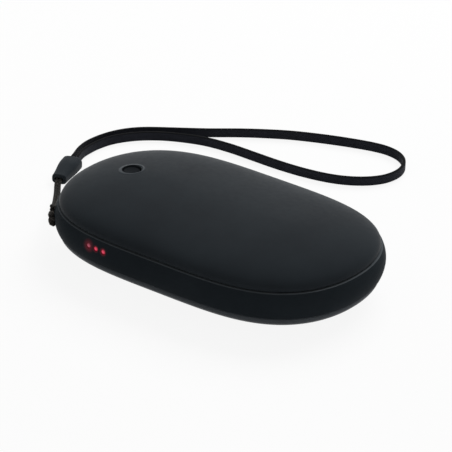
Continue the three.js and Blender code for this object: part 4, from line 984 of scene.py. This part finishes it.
def make_light(number):
    """A bent clear rod from its diode to the band, with a domed tip."""
    x = LIGHT_X[number - 1]
    radius = LIGHT_DIAMETER / 2
    low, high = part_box(f"light_pipe_{number}")
    foot_y = high.y / MM - radius
    top = MIDDLE + LIGHT_Z
    dome = LIGHT_SET_BACK - outline_y(bulge_inset(LIGHT_Z), x) + LIGHT_DOME
    line = [(x, foot_y, low.z / MM)]
    line += [(x, foot_y - out, top - down) for out, down in quarter_arc(LIGHT_BEND, 8)]
    line += [(x, dome + LIGHT_STRAIGHT - LIGHT_DOME, top), (x, dome, top)]
    radii = [radius] * len(line)
    for share in np.sin(quarter_turn(10)[1:-1]):
        line.append((x, dome - LIGHT_DOME * share, top))
        radii.append(radius * math.sqrt(1 - share**2))
    radii = np.array(radii)
    rod = loft(f"light_rod_{number}", tube_rings(np.array(line), radii[:, None], LIGHT_SIDES, (1, 0, 0)))
    core = np.repeat(radii / radius, LIGHT_SIDES) * LIGHT_CORE[number - 1]
    store_weave(rod, core, LIGHT_DIM[number - 1], 0)
    return stand_for(rod, f"light_pipe_{number}")


def socket_shell(name, y, width, height, radius, depth):
    """A drawn metal shell, open at its mouth and closed at its back, with a flared lip."""
    rings = []
    for inset, x in [(0, depth), *SHELL_LIP, (SHEET, depth - SHEET)]:
        section = rounded_rectangle(width - 2 * inset, height - 2 * inset, max(radius - inset, 0.05), 10)
        rings.append([(SOCKET_MOUTH_X + x, y + across, MIDDLE + up) for across, up in section])
    return turned_inside_out(loft(name, rings))


button = stand_for(make_button(), "power_button", body="button")
lights = [make_light(number) for number in (1, 2, 3)]
out_shell = socket_shell("output_shell", OUT_Y, OUT_WIDTH, OUT_HEIGHT, OUT_ROUNDING, OUT_DEPTH)
stand_for(out_shell, "output_socket_shell")
in_shell = socket_shell("charge_shell", IN_Y, IN_WIDTH, IN_HEIGHT, IN_ROUNDING, IN_DEPTH)
stand_for(in_shell, "charge_socket_shell")


# Shader nodes

def feed(socket, value):
    """Links an input to an output, or sets it to a plain value."""
    if isinstance(value, bpy.types.NodeSocket):
        socket.id_data.links.new(value, socket)
    else:
        socket.default_value = value


def set_inputs(made, **values):
    for key, value in values.items():
        feed(made.inputs[key.replace("_", " ")], value)


def node(tree, kind, **inputs):
    made = tree.nodes.new(kind)
    set_inputs(made, **inputs)
    return made


def new_material(name):
    material = bpy.data.materials.new(name)
    material.use_nodes = True
    tree = material.node_tree
    return material, tree, tree.nodes["Principled BSDF"]


def as_colour(value):
    """Linear colour of a hex code, or the grey of a number."""
    channels = [value] * 3
    if isinstance(value, str):
        channels = [int(value[i:i + 2], 16) / 255 for i in (0, 2, 4)]
        channels = [c / 12.92 if c <= 0.04045 else ((c + 0.055) / 1.055) ** 2.4 for c in channels]
    return (*channels, 1.0)


def object_place(tree):
    return node(tree, "ShaderNodeTexCoord").outputs["Object"]


def noise(tree, size, detail, roughness=0.55):
    """Noise over the object's own coordinates, with patches of that many millimetres."""
    return node(tree, "ShaderNodeTexNoise", Vector=object_place(tree), Scale=1 / (size * MM),
                Detail=detail, Roughness=roughness).outputs["Fac"]


def ramp(tree, value, stops):
    """Colours or greys between the stops."""
    made = node(tree, "ShaderNodeValToRGB", Fac=value)
    elements = made.color_ramp.elements
    while len(elements) < len(stops):
        elements.new(0.5)
    for element, (place, colour) in zip(elements, stops):
        element.position = place
        element.color = as_colour(colour)
    return made.outputs["Color"]


def between(tree, value, low, high):
    """A ramp over the middle of a noise."""
    return ramp(tree, value, [(0.3, low), (0.7, high)])


def mapped(tree, value, low, high, to_low=0, to_high=1):
    return node(tree, "ShaderNodeMapRange", Value=value, From_Min=low, From_Max=high,
                To_Min=to_low, To_Max=to_high).outputs["Result"]


def parts_of(tree, vector):
    return node(tree, "ShaderNodeSeparateXYZ", Vector=vector).outputs


def weave_values(tree):
    """Way along, place across and height, from the weave attribute."""
    weave = node(tree, "ShaderNodeAttribute")
    weave.attribute_name = "weave"
    return parts_of(tree, weave.outputs["Vector"])


def operated(tree, kind, operation, values):
    made = node(tree, kind)
    made.operation = operation
    for socket, value in zip(made.inputs, values):
        feed(socket, value)
    return made.outputs["Value"]


def math_node(tree, operation, *values):
    """A maths node over outputs and plain numbers."""
    return operated(tree, "ShaderNodeMath", operation, values)


def distance_to(tree, place, middle):
    return operated(tree, "ShaderNodeVectorMath", "DISTANCE", (place, middle))


def blended(tree, share, first, second):
    """The first colour where the share is 0, the second where it is 1."""
    made = node(tree, "ShaderNodeMix")
    made.data_type = "RGBA"
    for slot, value in ((0, share), (6, first), (7, second)):
        feed(made.inputs[slot], as_colour(value) if isinstance(value, str) else value)
    return made.outputs[2]


def add_bump(tree, shader, heights):
    """Bumps from (height output, strength, depth in millimetres), one over the other."""
    normal = {}
    for height, strength, depth in heights:
        bump = node(tree, "ShaderNodeBump", Height=height, Strength=strength, Distance=depth * MM, **normal)
        normal = {"Normal": bump.outputs["Normal"]}
    set_inputs(shader, **normal)


# Materials. Sizes in them are millimetres, and the other numbers are the shader's own

LEDGE_FADE = 0.12
HOLE_MARGIN = 0.05

# How far the painted red glow reaches in the band round each light
LIGHT_GLOW = (2.3, 1.2, 1.4)
GLOW_POWER = 1.3
GLOW_COLOUR = "4c0d16"

# Grain and broad unevenness of moulded surfaces, and the soft edge of the painted shade along the webbing's
# edges
SPECKLE_SIZE = 6
SCRATCHES = (40, 0.25, 0.05)
SELVEDGE_SOFTNESS = 0.05


def ledge_share(tree):
    """Where the band's painted highlight goes: 1 on the seam's ledges, from their height over and under the
    middle of the band.
    """
    height = math_node(tree, "SUBTRACT", parts_of(tree, object_place(tree))["Z"], MIDDLE * MM)
    return mapped(tree, math_node(tree, "ABSOLUTE", height), (BAND_EDGE - LEDGE_FADE) * MM, BAND_EDGE * MM)


def rim_share(tree):
    """Where the painted highlight round the button's hole goes: 1 on the lip round the hole, from the
    distance to the button's axis.
    """
    parts = parts_of(tree, object_place(tree))
    level = node(tree, "ShaderNodeCombineXYZ", X=parts["X"], Y=parts["Y"]).outputs[0]
    away = distance_to(tree, level, (BUTTON_X * MM, 0, 0))
    edge = HOLE_DIAMETER / 2
    lip = edge + HOLE_CHAMFER
    stops = [(0, 0), (edge - HOLE_MARGIN, 0), (lip, 0.8), (lip + BEAD_WIDTH / 2, 1), (lip + BEAD_WIDTH, 0)]
    reach = 2 * edge
    share = math_node(tree, "MULTIPLY", away, 1 / (reach * MM))
    return ramp(tree, share, [(place / reach, value) for place, value in stops])


def add_light_glow(tree, shader):
    """Painted glow: red emission in the band's plastic round the lit pipes."""
    place = object_place(tree)
    total = None
    for x, reach in zip(LIGHT_X, LIGHT_GLOW):
        middle = Vector((x, -outline_y(bulge_inset(LIGHT_Z), x), MIDDLE + LIGHT_Z)) * MM
        away = distance_to(tree, place, middle)
        share = mapped(tree, away, reach * MM, LIGHT_DIAMETER / 2 * MM)
        faded = math_node(tree, "POWER", share, GLOW_POWER)
        total = faded if total is None else math_node(tree, "MAXIMUM", total, faded)
    set_inputs(shader, Emission_Color=ramp(tree, total, [(0, 0), (1, GLOW_COLOUR)]), Emission_Strength=1)


def moulded(name, low, high, rough, grain, depth, patch, specular,
            scratches=False, ledge=None, glow=False, lip=None):
    """Moulded or coated surface: two close colours in soft patches, and a fine grain."""
    material, tree, shader = new_material(name)
    colour = between(tree, noise(tree, patch, 4), low, high)
    if ledge is not None:
        # Painted highlight: the corner beside the seam is painted paler, here more and there less
        highlight_patches = ramp(tree, noise(tree, 5, 4), [(0.25, 0.7), (0.75, 1)])
        colour = blended(tree, math_node(tree, "MULTIPLY", ledge_share(tree), highlight_patches), colour, ledge)
    # Painted highlight: the lip round the button's hole is painted paler
    if lip is not None:
        colour = blended(tree, rim_share(tree), colour, lip)
    speckle = noise(tree, grain * SPECKLE_SIZE, 5, 0.6)
    set_inputs(shader, Base_Color=colour, Roughness=between(tree, speckle, *rough),
               Specular_IOR_Level=specular)
    heights = [(noise(tree, grain, 2), 0.5, depth)]
    # Painted red glow in the band round the lights
    if glow:
        add_light_glow(tree, shader)
    if scratches:
        size, strength, scratch_depth = SCRATCHES
        heights.append((noise(tree, size, 2), strength, scratch_depth))
    add_bump(tree, shader, heights)
    return material


def metal(name, low, high, rough=(0.2, 0.32), grain=3.2, stretch=(1, 12, 12)):
    """Metal with fine lines from rolling or drawing."""
    material, tree, shader = new_material(name)
    place = node(tree, "ShaderNodeMapping", Vector=object_place(tree), Scale=stretch).outputs["Vector"]
    lines = node(tree, "ShaderNodeTexNoise", Vector=place, Scale=1 / (grain * MM), Detail=4).outputs["Fac"]
    set_inputs(shader, Base_Color=between(tree, lines, low, high), Roughness=between(tree, lines, *rough),
               Metallic=1)
    add_bump(tree, shader, [(lines, 0.3, 0.004)])
    return material


def woven(name, low, high, pick, columns, edge_shade=None):
    """Yarn over and under along the weave, with single fibres from sines of its two coordinates."""
    material, tree, shader = new_material(name)
    along, place, height = weave_values(tree)
    fray = noise(tree, 0.25, 4, 0.7)
    worn = math_node(tree, "MULTIPLY", noise(tree, 5, 3), 0.35)
    # Yarn that lies low in the weave is painted darker, broken up by fine noise: painted shade in the weave's
    # hollows. The broader noise is random wear.
    tone = math_node(tree, "ADD", math_node(tree, "MULTIPLY", height, fray), worn)
    colour = ramp(tree, tone, [(0.15, low), (0.75, high)])
    # Painted shade: the webbing's edges are painted darker
    if edge_shade is not None:
        edge = mapped(tree, math_node(tree, "ABSOLUTE", place), WEBBING_WIDTH / 2 - SELVEDGE,
                      WEBBING_WIDTH / 2 - SELVEDGE_SOFTNESS)
        colour = blended(tree, edge, colour, edge_shade)
    fibres = []
    for value, wavelength in ((along, pick), (place, columns)):
        turn = math_node(tree, "MULTIPLY", value, 2 * math.pi / wavelength)
        fibres.append(math_node(tree, "SINE", turn))
    set_inputs(shader, Base_Color=colour, Roughness=0.82, Specular_IOR_Level=0.08, Sheen_Weight=0.04,
               Sheen_Roughness=0.5)
    add_bump(tree, shader, [(math_node(tree, "MULTIPLY", *fibres), 0.5, 0.03), (fray, 0.4, 0.03)])
    return material


def glowing(name, bright, dim):
    """The lit end of a clear red light pipe: pale in its middle, red towards its rim.

    The second weave value says how much of the dim colours a light has.
    """
    material, tree, shader = new_material(name)
    radius, dimness, _ = weave_values(tree)
    grain = noise(tree, 0.6, 3)
    reach = math_node(tree, "ADD", radius, mapped(tree, grain, 0, 1, -0.12, 0.12))
    shine = blended(tree, dimness, ramp(tree, reach, bright), ramp(tree, reach, dim))
    set_inputs(shader, Base_Color=as_colour("3a0a12"), Roughness=0.2, Specular_IOR_Level=0.3,
               Emission_Color=shine, Emission_Strength=1)
    add_bump(tree, shader, [(grain, 0.2, 0.02)])
    return material


MATERIALS = {
    # The upper cover's lip round the button's hole is painted paler (lip): a painted highlight
    "cover": moulded("cover_coating", "22262a", "272c30", (0.38, 0.46), 0.3, 0.003, 22, 0.03,
                     scratches=True, lip="4a4f53"),
    # The lower cover has the upper cover's coating painted paler: a painted reflection of the white floor on
    # the lower dome
    "base": moulded("base_coating", "484c50", "4e5256", (0.3, 0.36), 0.3, 0.003, 22, 0.03, scratches=True),
    # The band's seam ledges are painted paler (ledge): a painted highlight
    "frame": moulded("band_plastic", "21262a", "262b2f", (0.42, 0.5), 0.4, 0.003, 16, 0.006,
                     ledge="565b5f", glow=True),
    "button": moulded("button_rubber", "101316", "16191c", (0.6, 0.7), 0.25, 0.006, 3, 0.04),
    "clasp": moulded("clasp_plastic", "24292d", "2a2f33", (0.42, 0.52), 0.3, 0.004, 5, 0.05),
    "dark": moulded("socket_plastic", "0d0d0e", "151516", (0.4, 0.5), 0.3, 0.004, 4, 0.45),
    "tray": moulded("tray_plastic", "232527", "2a2c2f", (0.5, 0.6), 0.4, 0.006, 9, 0.4),
    "board": moulded("board_mask", "12482c", "1b5c39", (0.3, 0.42), 0.5, 0.004, 6, 0.5),
    "chip": moulded("chip_epoxy", "121214", "1c1c1e", (0.5, 0.62), 0.15, 0.006, 2, 0.4),
    "ferrite": moulded("ferrite", "323236", "414146", (0.7, 0.85), 0.3, 0.01, 2, 0.3),
    "connector": moulded("connector_nylon", "dcd6c4", "e8e3d5", (0.42, 0.52), 0.3, 0.004, 3, 0.45),
    "led": moulded("diode_body", "e9dcc4", "f2ead9", (0.3, 0.4), 0.2, 0.003, 1, 0.5),
    "film": moulded("heater_film", "93571b", "b8772e", (0.22, 0.34), 0.6, 0.01, 3, 0.5),
    "foam": moulded("foam", "55585b", "6c6f73", (0.88, 0.98), 0.5, 0.08, 4, 0.2),
    "lead_red": moulded("lead_red", "8f1515", "b02222", (0.35, 0.5), 0.3, 0.006, 3, 0.45),
    "lead_black": moulded("lead_black", "101011", "1a1a1b", (0.35, 0.5), 0.3, 0.006, 3, 0.45),
    "steel": metal("plated_steel", "a2a5a9", "c9ccd0"),
    "nickel": metal("nickel", "8f8b82", "b5b1a7"),
    "can": metal("drawn_can", "9fa2a6", "c4c7cb", stretch=(12, 12, 1)),
    "pouch": metal("pouch_laminate", "989b9f", "bcbfc3", (0.3, 0.45), 6.4, (1, 1, 1)),
    "string": woven("string_braid", "121213", "3b3936", 0.5, 0.2),
    # The knot is the string's braid painted paler: painted light that makes up for the band's shade on it
    "knot": woven("knot_braid", "1c1b1b", "66615c", 0.5, 0.2),
    "webbing": woven("webbing_weave", "0a0b0d", "30323a", WEBBING_PICK, 0.83, edge_shade="090a0c"),
    "light": glowing("light_lit",
                     bright=[(0, "de4264"), (0.45, "d22c4c"), (0.8, "98162c"), (1, "4c0e18")],
                     dim=[(0, "9c4a5a"), (0.45, "8c384a"), (0.8, "601a26"), (1, "380c14")]),
}

PIECE_MATERIALS = {
    "cover": [top_cover], "base": [bottom_cover], "frame": [band], "button": [button], "clasp": [clasp],
    "webbing": [webbing], "string": [strand_upper, strand_lower, bight], "knot": [knot],
    "steel": [out_shell, in_shell], "light": lights,
}
NODE_MATERIALS = {
    "button": ["switch_plunger"],
    "chip": ["switch_body", "charge_chip", "protection_chip", "thermistor"],
    "board": ["main_board", "protection_board"],
    "dark": ["output_socket_tongue", "charge_socket_tongue"],
    "ferrite": ["inductor"],
    "can": ["capacitor_1", "capacitor_2"],
    "connector": ["battery_connector", "heater_connector"],
    "led": ["charge_led_1", "charge_led_2", "charge_led_3"],
    "pouch": ["battery_pouch"],
    "nickel": ["cell_tab_plus", "cell_tab_minus"],
    "tray": ["battery_tray"],
    "steel": ["tray_screw_1", "tray_screw_2", "tray_screw_3", "tray_screw_4", "board_screw_1",
              "board_screw_2"],
    "film": ["heater_film_top", "heater_film_bottom"],
    "foam": ["foam_pad_top", "foam_pad_bottom"],
    "lead_red": ["lead_battery_plus", "lead_heater_top"],
    "lead_black": ["lead_battery_minus", "lead_heater_bottom"],
}


def dress(piece, name):
    slots = piece.data.materials
    slots.clear()
    slots.append(MATERIALS[name])


for material, pieces in PIECE_MATERIALS.items():
    for piece in pieces:
        dress(piece, material)
for material, names in NODE_MATERIALS.items():
    for name in names:
        dress(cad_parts[name], material)


# Floor, world and lamp. These sizes are metres

FLOOR_HALF = 3
FLOOR_DROP = 0.0002
FLOOR_WHITE = 0.9
FLOOR_GLOW = 0.9
WORLD_LIGHT = 0.28
KEY_PLACE = (-0.1, 0.72, 0.8)
KEY_TARGET = (0, 0, 0.01)
KEY_SIZE = (0.9, 0.7)
KEY_WATTS = 11


def seen_directly(tree):
    """1 for rays from the camera and from shiny or clear surfaces, 0 for the rest."""
    rays = node(tree, "ShaderNodeLightPath").outputs
    either = math_node(tree, "MAXIMUM", rays["Is Glossy Ray"], rays["Is Transmission Ray"])
    return math_node(tree, "MAXIMUM", rays["Is Camera Ray"], either)


def make_floor():
    """White paper that glows where it is seen, so that it stays white and still keeps the shadow."""
    corners = [(x * FLOOR_HALF, y * FLOOR_HALF, 0) for x, y in ((-1, -1), (1, -1), (1, 1), (-1, 1))]
    floor = make_object("floor", corners, [(0, 1, 2, 3)])
    floor.location.z = -FLOOR_DROP
    material, tree, shader = new_material("floor_paper")
    set_inputs(shader, Base_Color=as_colour(FLOOR_WHITE), Roughness=0.9, Specular_IOR_Level=0)
    glow = node(tree, "ShaderNodeEmission", Color=as_colour(1), Strength=1)
    mix = node(tree, "ShaderNodeMixShader", Fac=math_node(tree, "MULTIPLY", seen_directly(tree), FLOOR_GLOW))
    feed(mix.inputs[1], shader.outputs[0])
    feed(mix.inputs[2], glow.outputs[0])
    set_inputs(tree.nodes["Material Output"], Surface=mix.outputs[0])
    floor.data.materials.append(material)


def make_world():
    world = bpy.data.worlds.new("studio")
    bpy.context.scene.world = world
    world.use_nodes = True
    tree = world.node_tree
    strength = mapped(tree, seen_directly(tree), 0, 1, WORLD_LIGHT, 1)
    set_inputs(tree.nodes["Background"], Color=as_colour(1), Strength=strength)


def add_lamp():
    """A large soft lamp behind the warmer, which isn't mirrored in it."""
    data = bpy.data.lights.new("key", "AREA")
    data.shape = "RECTANGLE"
    data.size, data.size_y = KEY_SIZE
    data.energy = KEY_WATTS
    lamp = bpy.data.objects.new("key", data)
    bpy.context.scene.collection.objects.link(lamp)
    lamp.location = KEY_PLACE
    lamp.rotation_mode = "QUATERNION"
    lamp.rotation_quaternion = (Vector(KEY_TARGET) - Vector(KEY_PLACE)).to_track_quat("-Z", "Y")
    lamp.visible_glossy = False


make_floor()
make_world()
add_lamp()
bpy.context.scene.view_settings.view_transform = "Standard"
